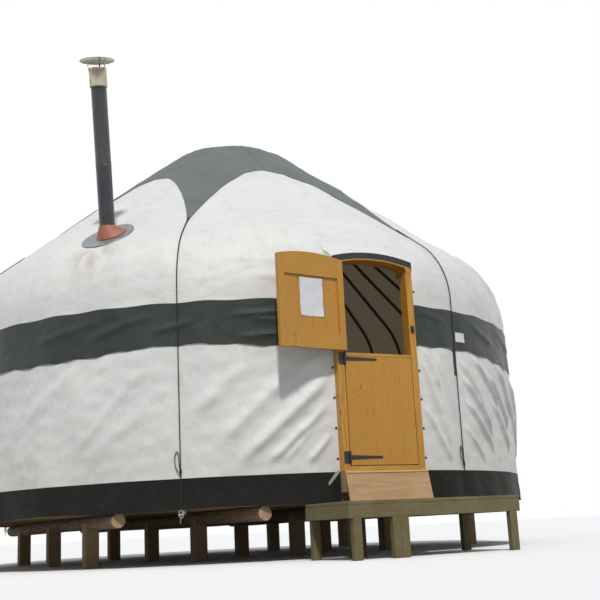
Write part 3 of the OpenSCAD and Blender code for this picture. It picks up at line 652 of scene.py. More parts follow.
def wood(name, light, dark, ring, rough=0.5, coat=0.0, knots=0.0, knot=None, grey=None, bump=0.5,
         grain_from=None):
    """Wood along the first axis of the grain attribute: growth rings, fibres, and knots if there are any. A
    CAD node has no such attribute, so its grain runs along x or round the middle axis."""
    m, nt, b, co = material(name, rough, Coat_Weight=coat, Coat_Roughness=0.25)
    g = grain_of(nt)
    if grain_from == "x":
        g = co
    elif grain_from == "round":
        own = node(nt, "SeparateXYZ", i0=co).outputs
        turn = times(nt, math_node(nt, "ARCTAN2", own[1], own[0]), 0.56)
        g = node(nt, "CombineXYZ", i0=turn, i1=length_of(nt, scaled(nt, co, 1, 1, 0)), i2=own[2]).outputs[0]
    drift = noise(nt, scaled(nt, g, 1.1, 7, 7), 1.0, 3, 0.5)
    own = node(nt, "SeparateXYZ", i0=g).outputs
    where = plus(nt, plus(nt, own[1], times(nt, own[2], 0.35)), times(nt, drift, 0.075))
    if knots:
        cell = node(nt, "TexVoronoi", Vector=scaled(nt, g, 5.0, 8.5, 8.5), Scale=1.0).outputs
        near = cell["Distance"]
        some = node(nt, "SeparateXYZ", i0=cell["Color"]).outputs[0]
        keep = math_node(nt, "GREATER_THAN", some, 1 - knots)
        where = plus(nt, where, times(nt, mapped(nt, near, 0.0, 0.45, 0.05, 0.0), keep))
    rings = mapped(nt, math_node(nt, "SINE", times(nt, where, 6.283 * ring)), -1.0, 1.0, 0.0, 1.0)
    fibre = noise(nt, scaled(nt, g, 9, 420, 420), 1.0, 3, 0.6)
    cloud = noise(nt, scaled(nt, g, 1.3, 4, 4), 1.0, 3, 0.6)
    fac = plus(nt, times(nt, rings, 0.55), times(nt, fibre, 0.45))
    c = mix(nt, ramp(nt, cloud, (0.3, 0.35), (0.7, 0.0)), mix(nt, fac, light, dark), dark)
    if grey:
        c = mix(nt, ramp(nt, noise(nt, co, 5, 6, 0.7), (0.35, 0.0), (0.70, 0.85)), c, grey)
    if knots:
        c = mix(nt, times(nt, ramp(nt, near, (0.05, 1.0), (0.13, 0.0)), keep), c, knot)
    finish_material(nt, b, c, mapped(nt, fac, 0.0, 1.0, rough - 0.07, rough + 0.10), (fac, bump, 0.0006))
    return m


ash = wood("ash", (0.20, 0.125, 0.07), (0.105, 0.062, 0.034), 70, 0.55)


def new_tree(name, **sizes):
    """A Geometry Nodes tree with a named input for each size and for the material, and its input sockets."""
    t = bpy.data.node_groups.new(name, "GeometryNodeTree")
    t.interface.new_socket("Geometry", in_out="INPUT", socket_type="NodeSocketGeometry")
    t.interface.new_socket("Geometry", in_out="OUTPUT", socket_type="NodeSocketGeometry")
    for k, v in sizes.items():
        kind = "NodeSocketInt" if isinstance(v, int) else "NodeSocketFloat"
        t.interface.new_socket(k, in_out="INPUT", socket_type=kind).default_value = v
    t.interface.new_socket("Material", in_out="INPUT", socket_type="NodeSocketMaterial")
    return t, t.nodes.new("NodeGroupInput").outputs


def end_tree(t, inputs, geometry):
    real = node(t, "GeometryNodeRealizeInstances", Geometry=geometry).outputs[0]
    done = node(t, "GeometryNodeSetMaterial", Geometry=real, Material=inputs["Material"]).outputs[0]
    t.links.new(done, t.nodes.new("NodeGroupOutput").inputs[0])


def named(t, name, kind="FLOAT_VECTOR"):
    n = node(t, "GeometryNodeInputNamedAttribute", {"data_type": kind}, Name=name)
    return [q for q in n.outputs if q.enabled][0]


def stored(t, geometry, name, value, kind):
    props = {"data_type": kind, "domain": "POINT"}
    return node(t, "GeometryNodeStoreNamedAttribute", props, Geometry=geometry, Name=name, Value=value).outputs[0]


def grown(name, tree, verts, edges, vectors, mat, **sizes):
    """Runs a tree on points or lines that carry named vectors, and keeps the result as one plain mesh."""
    obj = mesh_object(name, verts, edges, [], vectors)
    mod = obj.modifiers.new("nodes", "NODES")
    mod.node_group = tree
    for q in tree.interface.items_tree:
        if q.in_out == "INPUT" and q.name in sizes:
            mod[q.identifier] = sizes[q.name]
        elif q.in_out == "INPUT" and q.name == "Material":
            mod[q.identifier] = mat
    bake(obj)
    return finished(obj, "building", 50)


# each line becomes a bar with cut corners; out is the direction of its thickness and shift moves its grain
bars, at = new_tree("bars", Width=0.03, Thickness=0.03, Corner=0.004)
line = node(bars, "GeometryNodeMeshToCurve", Mesh=at["Geometry"]).outputs[0]
line = node(bars, "GeometryNodeSetCurveNormal", {"mode": "FREE"}, Curve=line, Normal=named(bars, "out")).outputs[0]
line = stored(bars, line, "along", node(bars, "GeometryNodeSplineParameter").outputs["Length"], "FLOAT")
section = node(bars, "GeometryNodeCurvePrimitiveQuadrilateral", Width=at["Thickness"], Height=at["Width"]).outputs[0]
section = node(bars, "GeometryNodeFilletCurve", {"mode": "POLY"}, Curve=section, Count=1, Radius=at["Corner"])
section = section.outputs[0]
section = stored(bars, section, "across", node(bars, "GeometryNodeInputPosition").outputs[0], "FLOAT_VECTOR")
solid = node(bars, "GeometryNodeCurveToMesh", Curve=line, Profile_Curve=section, Fill_Caps=True).outputs[0]
gone = named(bars, "along", "FLOAT")
across = node(bars, "SeparateXYZ", i0=named(bars, "across")).outputs
own = node(bars, "CombineXYZ", i0=gone, i1=across[1], i2=across[0]).outputs[0]
own = node(bars, "VectorMath", {"operation": "ADD"}, i0=own, i1=named(bars, "shift")).outputs[0]
end_tree(bars, at, stored(bars, solid, "grain", own, "FLOAT_VECTOR"))

# each point becomes a flattened ball, half sunk, that faces along out: a stud, a nail, a screw or a knot
heads, at = new_tree("heads", Radius=0.009, Height=0.008, Sides=10, Rings=6)
ball = node(heads, "GeometryNodeMeshUVSphere", Segments=at["Sides"], Rings=at["Rings"], Radius=at["Radius"]).outputs[0]
flat = node(heads, "CombineXYZ", i0=1.0, i1=1.0, i2=math_node(heads, "DIVIDE", at["Height"], at["Radius"])).outputs[0]
ball = node(heads, "GeometryNodeTransform", Geometry=ball, Scale=flat).outputs[0]
face = node(heads, "FunctionNodeAlignRotationToVector", {"axis": "Z"}, Vector=named(heads, "out")).outputs[0]
placed = node(heads, "GeometryNodeInstanceOnPoints", Points=at["Geometry"], Instance=ball, Rotation=face).outputs[0]
end_tree(heads, at, placed)


def bar_rows(name, paths, outs, width, thick, corner, mat, seed):
    """Bars along paths, each with its own stretch of the wood."""
    rng = np.random.default_rng(seed)
    edges, start, shifts = [], 0, []
    for p in paths:
        edges += [(start + i, start + i + 1) for i in range(len(p) - 1)]
        start += len(p)
        shifts.append(np.broadcast_to(rng.uniform(-40, 40, 3), (len(p), 3)))
    vectors = {"out": np.concatenate(outs), "shift": np.concatenate(shifts)}
    return grown(name, bars, np.concatenate(paths), edges, vectors, mat, Width=width, Thickness=thick, Corner=corner)


def head_rows(name, points, outs, radius, height, mat, sides=10, rings=6):
    """Small round heads at points, each facing along its out."""
    return grown(name, heads, points, [], {"out": outs}, mat, Radius=radius, Height=height, Sides=sides, Rings=rings)


def outward(az):
    """Flat unit vectors from the middle of the tent, at turns from the door in degrees."""
    a = np.radians(az)
    return np.stack([np.sin(a), -np.cos(a), 0 * a], -1)


# the poles' middle line: from the foot up to the eaves, round the bend, and straight on to the crown ring
POLE_OFF, POLE_W, POLE_FOOT, POLE_END = -0.029, 0.030, 1.8202, 0.5695
OVER_DOOR = 2.333
STEP = 360 / 42
POLE_TURN = math.radians(90 - 37.6)
bend = np.linspace(0, POLE_TURN, 16)
pole_r = np.append(R + POLE_OFF, R - BEND + (BEND + POLE_OFF) * np.cos(bend))
pole_z = np.append(POLE_FOOT, EAVES + (BEND + POLE_OFF) * np.sin(bend))
run = np.linspace(0, (pole_r[-1] - POLE_END) / math.sin(POLE_TURN), 9)[1:]
pole_r = np.append(pole_r, pole_r[-1] - run * math.sin(POLE_TURN))
pole_z = np.append(pole_z, pole_z[-1] + run * math.cos(POLE_TURN))
for node_name, first, last in (("roof_poles_front", -5, 4), ("roof_poles_right", 5, 15),
                               ("roof_poles_back", 16, 25), ("roof_poles_left", 26, 36)):
    paths, outs = [], []
    for i in range(first, last + 1):
        az, r, z = (i + 0.5) * STEP, pole_r, pole_z
        if abs(i + 0.5) < 1:
            above = z > OVER_DOOR + 0.007
            r, z = np.append(np.interp(OVER_DOOR, z, r), r[above]), np.append(OVER_DOOR, z[above])
        paths.append(r[:, None] * outward(az) + z[:, None] * [0, 0, 1])
        outs.append(np.broadcast_to(outward(az + 90), paths[-1].shape))
    poles = bar_rows(node_name + "_bent", paths, outs, POLE_W, POLE_W, 0.006, ash, 100 + first)
    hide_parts(node_name)

# the laths cross at half steps of the poles; their turn from the door follows the sine of their height
LATH_R, LATH_T, LATH_W, TRELLIS = 2.683, 0.012, 0.030, (0.621, 1.8195)
MID_Z, SPREAD, TIE_R = 1.22, 2.672, 2.6585
tie_cord = rope_material("tie_cord", (0.30, 0.25, 0.17), (0.16, 0.12, 0.08))
spans = {"trellis_front_left": (-94.6, -8.1), "trellis_back_left": (-182.1, -95.0),
         "trellis_back_right": (95.0, 177.7), "trellis_front_right": (8.1, 94.6)}
for number, (node_name, (a0, a1)) in enumerate(spans.items()):
    paths, outs, ties = [], [], []
    for way, rad in ((1, LATH_R - LATH_T / 2 - 0.0012), (-1, LATH_R - LATH_T * 1.5 - 0.0010)):
        for i in range(math.floor(a0 / STEP) - 2, math.ceil(a1 / STEP) + 3):
            z = np.linspace(*TRELLIS, 25)
            az = i * STEP + way * np.degrees(np.arcsin((z - MID_Z) / SPREAD))
            keep = (az > a0 + 0.15) & (az < a1 - 0.15)
            if keep.sum() >= 2:
                outs.append(outward(az[keep]))
                paths.append(rad * outs[-1] + z[keep, None] * [0, 0, 1])
    trellis = bar_rows(node_name + "_laths", paths, outs, LATH_W, LATH_T - 0.0006, 0.0026, ash, 300 + number)
    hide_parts(node_name)
    for k in range(math.ceil(a0 / STEP * 2), math.floor(a1 / STEP * 2) + 1):
        for j in range(-8, 9):
            z = MID_Z + SPREAD * math.sin(math.radians((2 * j + k % 2) * STEP / 2))
            if TRELLIS[0] + 0.02 < z < TRELLIS[1] - 0.02:
                ties.append(TIE_R * outward(k * STEP / 2) + [0, 0, z])
    ties = np.array(ties)
    knots = head_rows(node_name + "_ties", ties, -ties * [1, 1, 0], 0.0060, 0.0045, tie_cord, sides=8, rings=4)

# Crown
# The crown ring is laminated from bent ash, with a mortise for each pole, and two sets of three bent spokes
# cross over it. The cover lies on them.
def dress(node_name, mat):
    """Gives a CAD node that keeps its own shape its material."""
    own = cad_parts[node_name].data.materials
    own.clear()
    own.append(mat)


for name, way in (("crown_ring", "round"), ("crown_spokes", "x")):
    dress(name, wood(name + "_ash", (0.22, 0.14, 0.08), (0.12, 0.07, 0.04), 60, 0.5, grain_from=way))

# Door frame
# Planed pine, varnished to a honey colour: two jambs, an arched head and a sill. The canvas is fixed to its
# edges with small dark studs.
pine = wood("pine", (0.64, 0.335, 0.040), (0.40, 0.170, 0.016), 75, 0.42, 0.25, 0.60, (0.17, 0.060, 0.012))
FRONT, FLOOR_TOP, FRAME_IN, JAMB_TOP = -2.730, 0.62, 0.307, 2.185


def stick(corners, grain, seed, move, order=(0, 1, 2)):
    """A piece of wood from rings of four corners, with its own stretch of grain. move places it."""
    shift = np.random.default_rng(seed).uniform(-40, 40, 3)
    verts = [move(q) for q in corners] if move else corners
    return verts, prism_faces(len(corners) // 4, 4), (np.array(grain) + shift)[:, order]


def box_part(lo, hi, axis, seed, cuts=1, move=None):
    """A plain board from corner to corner, its grain along that axis (0, 1 or 2)."""
    lo, hi = np.array(lo, float), np.array(hi, float)
    wide, thin = sorted((k for k in range(3) if k != axis), key=lambda k: lo[k] - hi[k])
    corners = []
    for t in np.linspace(lo[axis], hi[axis], cuts + 1):
        for b, c in ((lo, lo), (hi, lo), (hi, hi), (lo, hi)):
            q = np.zeros(3)
            q[axis], q[wide], q[thin] = t, b[wide], c[thin]
            corners.append(q)
    return stick(corners, (np.array(corners) - (lo + hi) / 2)[:, [axis, wide, thin]], seed, move)


def arch_part(x0, x1, top, low, y0, y1, seed, cuts, move=None, upright=False):
    """A piece between two edges over x, each a height at x. Its grain runs along x, or upright."""
    corners = [np.array((x, y, z)) for x in np.linspace(x0, x1, cuts + 1)
               for y, z in ((y0, low(x)), (y1, low(x)), (y1, top(x)), (y0, top(x)))]
    grain = [(x, z - top(x), y) for x, y, z in corners]
    return stick(corners, grain, seed, move, (1, 0, 2) if upright else (0, 1, 2))


def boards(name, parts, mat, soft, body="building", steps=2):
    """Boards as one piece, with their edges rounded by a small bevel."""
    v, f, g = merged(parts)
    obj = piece(name, v, f, mat, body, grain=g, angle=30)
    mod = obj.modifiers.new("round", "BEVEL")
    mod.width, mod.segments, mod.limit_method, mod.angle_limit = soft, steps, "ANGLE", math.radians(30)
    bake(obj)
    for q in obj.data.polygons:
        q.use_smooth = True
    mod = obj.modifiers.new("normals", "WEIGHTED_NORMAL")
    mod.keep_sharp = False
    bake(obj)
    return obj


def arch_z(x, inset):
    """Height of the arched head at a place across the door, that far inside its outer edge."""
    return ARCH_Z + math.sqrt((ARCH_R - inset) ** 2 - x * x)


for side, node_name in ((-1, "door_jamb_left"), (1, "door_jamb_right")):
    x0, x1 = sorted((side * FRAME_IN, side * FRAME_HALF))
    part = box_part((x0, FRONT, FLOOR_TOP), (x1, FRONT + 0.095, JAMB_TOP), 2, 11 + side, 6)
    jamb = boards(node_name + "_board", [part], pine, 0.004)
    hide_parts(node_name)
part = box_part((-FRAME_IN, FRONT, FLOOR_TOP), (FRAME_IN, FRONT + 0.095, 0.66), 0, 15, 4)
sill = boards("door_sill_board", [part], pine, 0.004)
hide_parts("door_sill")


def head_low(x):
    """The head's lower edge, which runs out flat over the jambs."""
    return arch_z(x, 0.06) if abs(x) < FRAME_IN else 2.2


parts = [arch_part(-FRAME_HALF, FRAME_HALF, lambda x: arch_z(x, 0), head_low, FRONT, FRONT + 0.150, 21, 48)]
for x0 in (-FRAME_HALF, FRAME_IN + 0.0005):
    parts.append(box_part((x0, FRONT, JAMB_TOP + 0.001), (x0 + 0.0595, FRONT + 0.150, 2.1997), 2, 23))
head = boards("door_head_arch", parts, pine, 0.003)
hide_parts("door_head")

# Door leaves
# A stable door of boards: the lower leaf is shut, and the upper one stands open against the wall and shows
# its inside, with stiles and rails round recessed boards. Both hang on black T-hinges.
LEAF_HALF, LEAF_BACK = 0.301, FRONT + 0.036
edges = np.linspace(-LEAF_HALF, LEAF_HALF, 6)
parts = [box_part((x0 + 0.0001, FRONT, 0.666), (x1 - 0.0001, FRONT + 0.022, 1.498), 2, 40 + i, 6)
         for i, (x0, x1) in enumerate(zip(edges, edges[1:]))]
for z in (0.72, 1.10, 1.42):
    parts.append(box_part((-0.295, FRONT + 0.0222, z - 0.05), (0.295, LEAF_BACK, z + 0.05), 0, 50 + int(z * 10), 3))
bottom = boards("bottom_leaf_boards", parts, pine, 0.0013, "door_bottom_leaf")
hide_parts("bottom_leaf")
part = box_part((-LEAF_HALF, FRONT - 0.0015, 1.499), (LEAF_HALF, LEAF_BACK, 1.522), 0, 58, 4)
cap = boards("bottom_leaf_cap", [part], pine, 0.0025, "door_bottom_leaf")


def stile_top(x):
    return arch_z(x, 0.066)


# the top leaf's rails lie between its stiles, and its four boards lie behind both
RAIL_HALF, RAIL_FRONT, RAIL_BACK, TOP_RAIL = 0.2455, FRONT + 0.0217, LEAF_BACK - 0.001, 2.084
edges = np.linspace(-0.252, 0.252, 5)
parts = [arch_part(x0 + 0.0004, x1 - 0.0004, lambda x: arch_z(x, 0.070), lambda x: 1.530, FRONT + 0.002, FRONT + 0.0215,
                   60 + i, 4, swung, True) for i, (x0, x1) in enumerate(zip(edges, edges[1:]))]
for x0, x1 in ((-LEAF_HALF, -0.246), (0.246, LEAF_HALF)):
    parts.append(arch_part(x0, x1, stile_top, lambda x: 1.528, FRONT, LEAF_BACK, 70 + int(x1 * 10), 6, swung, True))
parts.append(arch_part(-RAIL_HALF, RAIL_HALF, stile_top, lambda x: TOP_RAIL, RAIL_FRONT, RAIL_BACK, 75, 24, swung))
parts.append(box_part((-RAIL_HALF, RAIL_FRONT, 1.528), (RAIL_HALF, RAIL_BACK, 1.648), 0, 76, 3, swung))
top_leaf = boards("top_leaf_frame", parts, pine, 0.0022, "door_top_leaf")
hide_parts("top_leaf")

black_iron, nt, b, co = material("black_iron", 0.45, Metallic=0.0, Specular_IOR_Level=0.6)
c = mix(nt, ramp(nt, noise(nt, co, 60, 5, 0.7), (0.55, 0.0), (0.72, 1.0)), (0.012, 0.012, 0.013), (0.055, 0.030, 0.018))
finish_material(nt, b, c, None, (noise(nt, co, 240, 3), 0.35, 0.0007))
# heights of the hinges, the bottom leaf's first, and the radii of a knuckle
HINGE_Z = [FLOOR_TOP + h for h in (0.105, 0.855, 1.010, 1.480)]
KNUCKLE = (0.0068, 0.0075, 0.0075, 0.0068)
IRON_BACK = FRONT - 0.0003


def bolt_head(x, z, outs, radii, sides):
    return tube([(x, FRONT - out, z) for out in outs], radii, sides)


def on_pin(z, heights, radii, sides):
    """A round piece about the hinge's axis, from height to height over z."""
    return tube([(HINGE.x, HINGE.y, z + h) for h in heights], radii, sides)


def strap_hinge(z, move=None):
    """A T-hinge's long strap: tapered, with a rounded end, four bolt heads and the knuckle at the pin."""
    x = np.linspace(-0.306, -0.017, 26)
    half = np.interp(x, [-0.306, -0.28, -0.05, -0.035, -0.022, -0.017], [0.0155, 0.0155, 0.0085, 0.0105, 0.0085, 0.002])
    verts = [(xi, y, z + dz) for xi, h in zip(x, half)
             for y, dz in ((FRONT - 0.0050, -h + 0.001), (FRONT - 0.0040, -h), (IRON_BACK, -h), (IRON_BACK, h),
                           (FRONT - 0.0040, h), (FRONT - 0.0050, h - 0.001))]
    out = [(verts, prism_faces(len(x), 6))]
    for xi in (-0.272, -0.205, -0.125, -0.05):
        out.append(bolt_head(xi, z, (0.0045, 0.0068, 0.0078), (0.0062, 0.0055, 0.002), 12))
    out.append(on_pin(z, (-0.0200, -0.0192, 0.0192, 0.0200), KNUCKLE, 20))
    v, f = merged(out)
    return [move(q) for q in v] if move else v, f


parts = [strap_hinge(z) for z in HINGE_Z[:2]]
hinge = piece("bottom_leaf_straps", *merged(parts), black_iron, "door_bottom_leaf", angle=30)
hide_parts("bottom_leaf_hinges")
parts = [strap_hinge(z, swung) for z in HINGE_Z[2:]]
hinge = piece("top_leaf_straps", *merged(parts), black_iron, "door_top_leaf", angle=30)
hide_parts("top_leaf_hinges")
parts = []
for z in HINGE_Z:
    parts.append(box_part((-0.357, FRONT - 0.004, z - 0.045), (-0.309, IRON_BACK, z + 0.045), 2, 1)[:2])
    for dz in (-0.033, 0.033):
        parts.append(on_pin(z + dz, (-0.012, -0.0113, 0.0113, 0.012), KNUCKLE, 20))
        parts.append(box_part((HINGE.x - 0.008, HINGE.y, z + dz - 0.0115),
                              (HINGE.x - 0.002, FRONT - 0.0005, z + dz + 0.0115), 2, 1)[:2])
        for dx in (-0.012, 0.012):
            parts.append(bolt_head(-0.333 + dx, z + dz, (0.0038, 0.0055, 0.0062), (0.0048, 0.0042, 0.0015), 10))
    parts.append(on_pin(z, (-0.040, 0.040), 0.0039, 16))
    for end in (-1, 1):
        parts.append(on_pin(z, [end * h for h in (0.0452, 0.0475, 0.0485)], (0.0055, 0.0050, 0.002), 14))
plates = piece("hinge_plates_and_pins", *merged(parts), black_iron, angle=30)
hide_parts("door_hinge_plates")
KEEP_X = 0.319
parts = [box_part((KEEP_X, FRONT - 0.004, 1.70), (KEEP_X + 0.036, IRON_BACK, 1.76), 2, 3),
         box_part((KEEP_X + 0.006, FRONT - 0.010, 1.712), (KEEP_X + 0.014, FRONT - 0.0042, 1.748), 2, 4)]
latch = boards("latch_keep", parts, black_iron, 0.001)
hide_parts("door_latch")

# Studs
# Dark domed iron studs are driven in on both sides of the door. They hold the canvas hem to the frame's edge.
at = np.array([(x, -math.sqrt(R * R - x * x) - 0.0035, z) for x in (-0.383, 0.414)
               for z in (0.72, 0.95, 1.18, 1.41, 1.62, 1.84, 2.06)])
studs = head_rows("canvas_studs", at, at * [1, 1, 0], 0.010, 0.007, black_iron, sides=16, rings=8)

# Sheet on the leaf
# A blank sheet of thin white paper lies on the boards in the recess of the open leaf. It waves a little and
# curls at its corners.
paper, nt, b, co = material("paper", 0.7)
c = mix(nt, noise(nt, co, 14, 4), (0.80, 0.81, 0.84), (0.70, 0.71, 0.76))
finish_material(nt, b, c, None, (noise(nt, co, 30, 3), 0.25, 0.002))


def sheet_grid(name, point, us, vs, thick, mat, body="building"):
    """A closed thin sheet over a grid. point gives a place on it at (u, v, depth)."""
    verts = [point(u, v, depth) for depth in (0.0, thick) for v in vs for u in us]
    return piece(name, verts, sheet_faces(len(vs), len(us)), mat, body, angle=60)


def paper_point(col, row, depth):
    curl = max(0, abs(col - 4) - 2) * max(0, abs(row - 6) - 4)
    lift = 0.0012 * (1 + math.sin(row * 1.1 + col * 0.8)) + 0.001 * curl
    return swung((-0.1045 + 0.209 * col / 8, FRONT + 0.0224 + lift + depth, 1.773 + 0.296 * row / 12))


sheet = sheet_grid("pinned_sheet", paper_point, range(9), range(13), 0.0004, paper, "door_top_leaf")
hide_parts("notice_sheet")

# Flap and strip over the door
# A flap of the white canvas slopes from the roof down to the door head's front edge, with a cheek at each
# end. A strip of the dark green canvas, fixed with three studs, holds it on the head's face.
def roof_y(x, z):
    """How far forward the roof's true surface is at a place across the door and a height in the bend."""
    r = R - BEND + BEND * math.sqrt(max(0.0, 1 - min(1.0, max(0.0, z - EAVES) / BEND) ** 2))
    return -math.sqrt(r * r - x * x)


def flap_edges(x):
    """Height of the flap's front edge, on the head, and of its back edge, on the roof."""
    return arch_z(x, 0) + 0.0014, arch_z(x, -0.088)


def flap_point(x, t, depth):
    """t runs from 0 at the head's front edge to 1 at the roof canvas, and on to the lap over its edge."""
    z_low, z_high = flap_edges(x)
    p0, p1 = np.array((x, FRONT + 0.001, z_low)), np.array((x, roof_y(x, z_high) - 0.005, z_high))
    n = np.cross(p1 - p0, (1, 0, 0))
    n /= np.linalg.norm(n)
    slack = 0.007 * math.sin(math.pi * min(t, 1)) * (1 + 0.6 * math.sin(15 * x) + 0.4 * math.sin(37 * x + 1))
    if t <= 1:
        return p0 + (p1 - p0) * t + n * (0.0016 - depth - slack * 0.6)
    z = z_high + (t - 1) * 0.16
    return np.array((x, roof_y(x, z) - 0.0065 + depth, z))


across, along = np.linspace(-0.372, 0.372, 60), np.append(np.linspace(0, 1, 12), [1.1, 1.25, 1.4])
flap = sheet_grid("door_flap_cloth", flap_point, across, along, CLOTH, white_canvas)
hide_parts("door_hood")
for side in (-1, 1):
    def cheek_point(u, v, depth, side=side, x=0.3725):
        """A cheek closes the flap's end: u goes back from the head to the canvas, v goes up."""
        low, high = flap_edges(x)
        z = 2.205 + (low + (high - low) * u - 2.205) * v
        back = max(roof_y(x, z) - 0.002, roof_y(x, high) - 0.004 - 0.060 * (1 - v))
        return np.array((side * (x + 0.0006 - depth), (FRONT + 0.001) * (1 - u) + back * u, z))

    grid = np.linspace(0, 1, 8)
    cheek = sheet_grid("door_flap_cheek_%d" % (side + 1), cheek_point, grid, grid, CLOTH, white_canvas)
STRIP_Y = FRONT - 0.0022


def strip_point(x, v, depth):
    return np.array((x, STRIP_Y + depth, arch_z(x, 0.046 * (1 - v)) + 0.001 * v))


across = np.linspace(-0.3695, 0.3695, 60)
strip = sheet_grid("door_strip_cloth", strip_point, across, np.linspace(0, 1, 6), 0.0018, green_canvas)
at = np.array([(x, STRIP_Y, arch_z(x, 0.010)) for x in (-0.345, 0.0, 0.345)])
studs = head_rows("strip_studs", at, np.array([(0.0, -1.0, 0.0)] * 3), 0.010, 0.007, black_iron, sides=16, rings=8)

# Tension band
# A woven belt round the top of the trellis takes the poles' thrust. It lies between the laths and the
# lining, and runs from one side of the door frame round to the other.
webbing, nt, b, co = material("webbing", 0.85)
stripe = noise(nt, scaled(nt, co, 2, 2, 260), 1.0, 2)
c = mix(nt, stripe, (0.42, 0.35, 0.24), (0.30, 0.24, 0.16))
finish_material(nt, b, c, None, (noise(nt, co, 700, 2), 0.5, 0.0008))
az, s = np.meshgrid(np.linspace(DOOR_AZ, 360 - DOOR_AZ, 300), np.linspace(1.73, 1.79, 5))
belt = shell("tension_belt", az, s, -0.0140, 0.0018, webbing, loose=0)
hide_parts("tension_band")

# Rope ends
# Each storm rope is drawn under its galvanised hook and hitched back on itself above, with a spare bight
# left hanging. A pale cord ties the hook's end.
galvanised, nt, b, co = material("galvanised", 0.42, Metallic=0.9)
spangle = node(nt, "TexVoronoi", Vector=co, Scale=90.0).outputs["Color"]
c = mix(nt, node(nt, "SeparateXYZ", i0=spangle).outputs[0], (0.52, 0.53, 0.54), (0.38, 0.39, 0.40))
finish_material(nt, b, c, None, (noise(nt, co, 120, 3), 0.3, 0.0006))
dress("rope_hooks", galvanised)
# the spare bight: distance beside the rope, length up the skin and distance off it, then eased a little
EAR = np.array([(0.006, 0.66, 0.014), (0.022, 0.675, 0.020), (0.040, 0.715, 0.018), (0.044, 0.775, 0.014),
                (0.036, 0.815, 0.012), (0.022, 0.830, 0.010), (0.010, 0.800, 0.0105), (0.010, 0.740, 0.0125),
                (0.006, 0.695, 0.016)])
eased = [np.convolve(np.pad(q, 1, "edge"), (0.2, 0.6, 0.2), "valid") for q in EAR.T]
bight = np.stack([np.interp(np.linspace(0, 8, 60), range(9), q) for q in eased], -1)
TAIL = ((0.004, 0.352, 0.016), (0.008, 0.340, 0.018), (0.006, 0.322, 0.015), (0.009, 0.300, 0.012))
parts, ties = [], []
for i, a in enumerate(ROPES):
    side = 1 if i % 2 else -1

    def near(beside, s, off):
        return on_skin(a + side * math.degrees(beside / R), s, off)

    turns = [near(0.0075 * math.cos(t), 0.655 + 0.0021 * t, 0.0125 + 0.0075 * math.sin(t))
             for t in np.linspace(0, 18.8, 60)]
    parts += [rope(turns, 0.0042, 0.03), rope([near(*p) for p in bight], 0.0042, 0.03)]
    turns = [near(0.017 * math.cos(t), 0.372 + 0.026 * math.sin(t) - 0.004 * t / 6, 0.013 + 0.004 * math.cos(2 * t))
             for t in np.linspace(0, 12.4, 60)]
    ties += [tube(turns, 0.0028, 8), tube([near(*p) for p in TAIL], 0.0026, 8)]
hitches = piece("rope_hitches", *merged(parts), dark_rope)
lashes = piece("hook_ties", *merged(ties), pale_cord)
tape_cloth = canvas_material("tape_cloth", (0.34, 0.35, 0.33), (0.24, 0.25, 0.24), (0.16, 0.15, 0.13))
for k, (a0, s0, a1, s1) in enumerate(((-8.1, 0.630, -11.4, 0.455), (-8.6, 0.615, -10.6, 0.500))):
    def tape_point(u, v, depth):
        """A flat tape: v goes along it and u across it."""
        a, s = a0 + (a1 - a0) * v + math.degrees(u * 0.75 / R), s0 + (s1 - s0) * v - u * 0.66
        return on_skin(a, s, 0.0115 + 0.004 * k + 0.007 * math.sin(math.pi * v) + 0.08 * u * math.sin(3 * v) - depth)

    across = np.linspace(-0.0095, 0.0095, 4)
    tape = sheet_grid("skirt_tape_%d" % k, tape_point, across, np.linspace(0, 1, 18), 0.0012, tape_cloth)

# Floor
# Tongued boards are nailed to joists inside a bent rim, on rows of posts. All of it is sawn softwood, left
# plain.
sawn = wood("sawn_timber", (0.46, 0.325, 0.185), (0.30, 0.20, 0.105), 60, 0.75, bump=0.8)
FLOOR_R, ROWS, JOIST_STEP, JOIST_HALF, POST_STEP = 2.691, 38, 0.4, 0.0225, 0.925
UP = (0.0, 0.0, 1.0)
pitch = 2 * FLOOR_R / ROWS


def floor_edge(x):
    return math.sqrt(max(FLOOR_R ** 2 - x * x, 0.0004))


parts = []
for i in range(ROWS):
    x0 = -FLOOR_R + i * pitch
    parts.append(arch_part(x0 + 0.0006, x0 + pitch - 0.0006, floor_edge, lambda x: -floor_edge(x), 0.5955, FLOOR_TOP,
                           500 + i, 5, lambda q: (q[0], q[2], q[1]), True))
floor = boards("floor_board_rows", parts, sawn, 0.0015, steps=1)
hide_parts("floor_boards")
at = np.array([(-FLOOR_R + (i + 0.5) * pitch + dx, j * JOIST_STEP, FLOOR_TOP + 0.0003)
               for i in range(ROWS) for j in range(-6, 7) for dx in (-0.045, 0.045)])
at = at[np.hypot(at[:, 0], at[:, 1]) < 2.60]
nails = head_rows("floor_nails", at, np.broadcast_to(UP, at.shape), 0.0042, 0.0010, galvanised, sides=8, rings=4)
parts = []
for i in range(-6, 7):
    y = i * JOIST_STEP
    half = math.sqrt(2.628 ** 2 - (abs(y) + JOIST_HALF) ** 2)
    parts.append(box_part((-half, y - JOIST_HALF, 0.4), (half, y + JOIST_HALF, 0.5948), 0, 560 + i, 3))
joists = boards("floor_joist_rows", parts, sawn, 0.003, steps=1)
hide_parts("floor_joists")
outs = [outward(np.linspace(i * 60 + 0.05, i * 60 + 59.95, 30)) for i in range(6)]
paths = [2.655 * q + [0, 0, 0.4975] for q in outs]
rim_wood = bar_rows("platform_rim_bent", paths, outs, 0.194, 0.049, 0.0025, sawn, 600)
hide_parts("platform_rim")
parts = []
for i in range(-2, 3):
    for k in (-1, 0, 1):
        x, y = i * POST_STEP, k * 1.2
        parts.append(box_part((x - 0.055, y - 0.055, 0.0), (x + 0.055, y + 0.055, 0.344), 2, 620 + i * 3 + k, 4))
posts = boards("platform_post_rows", parts, sawn, 0.005)
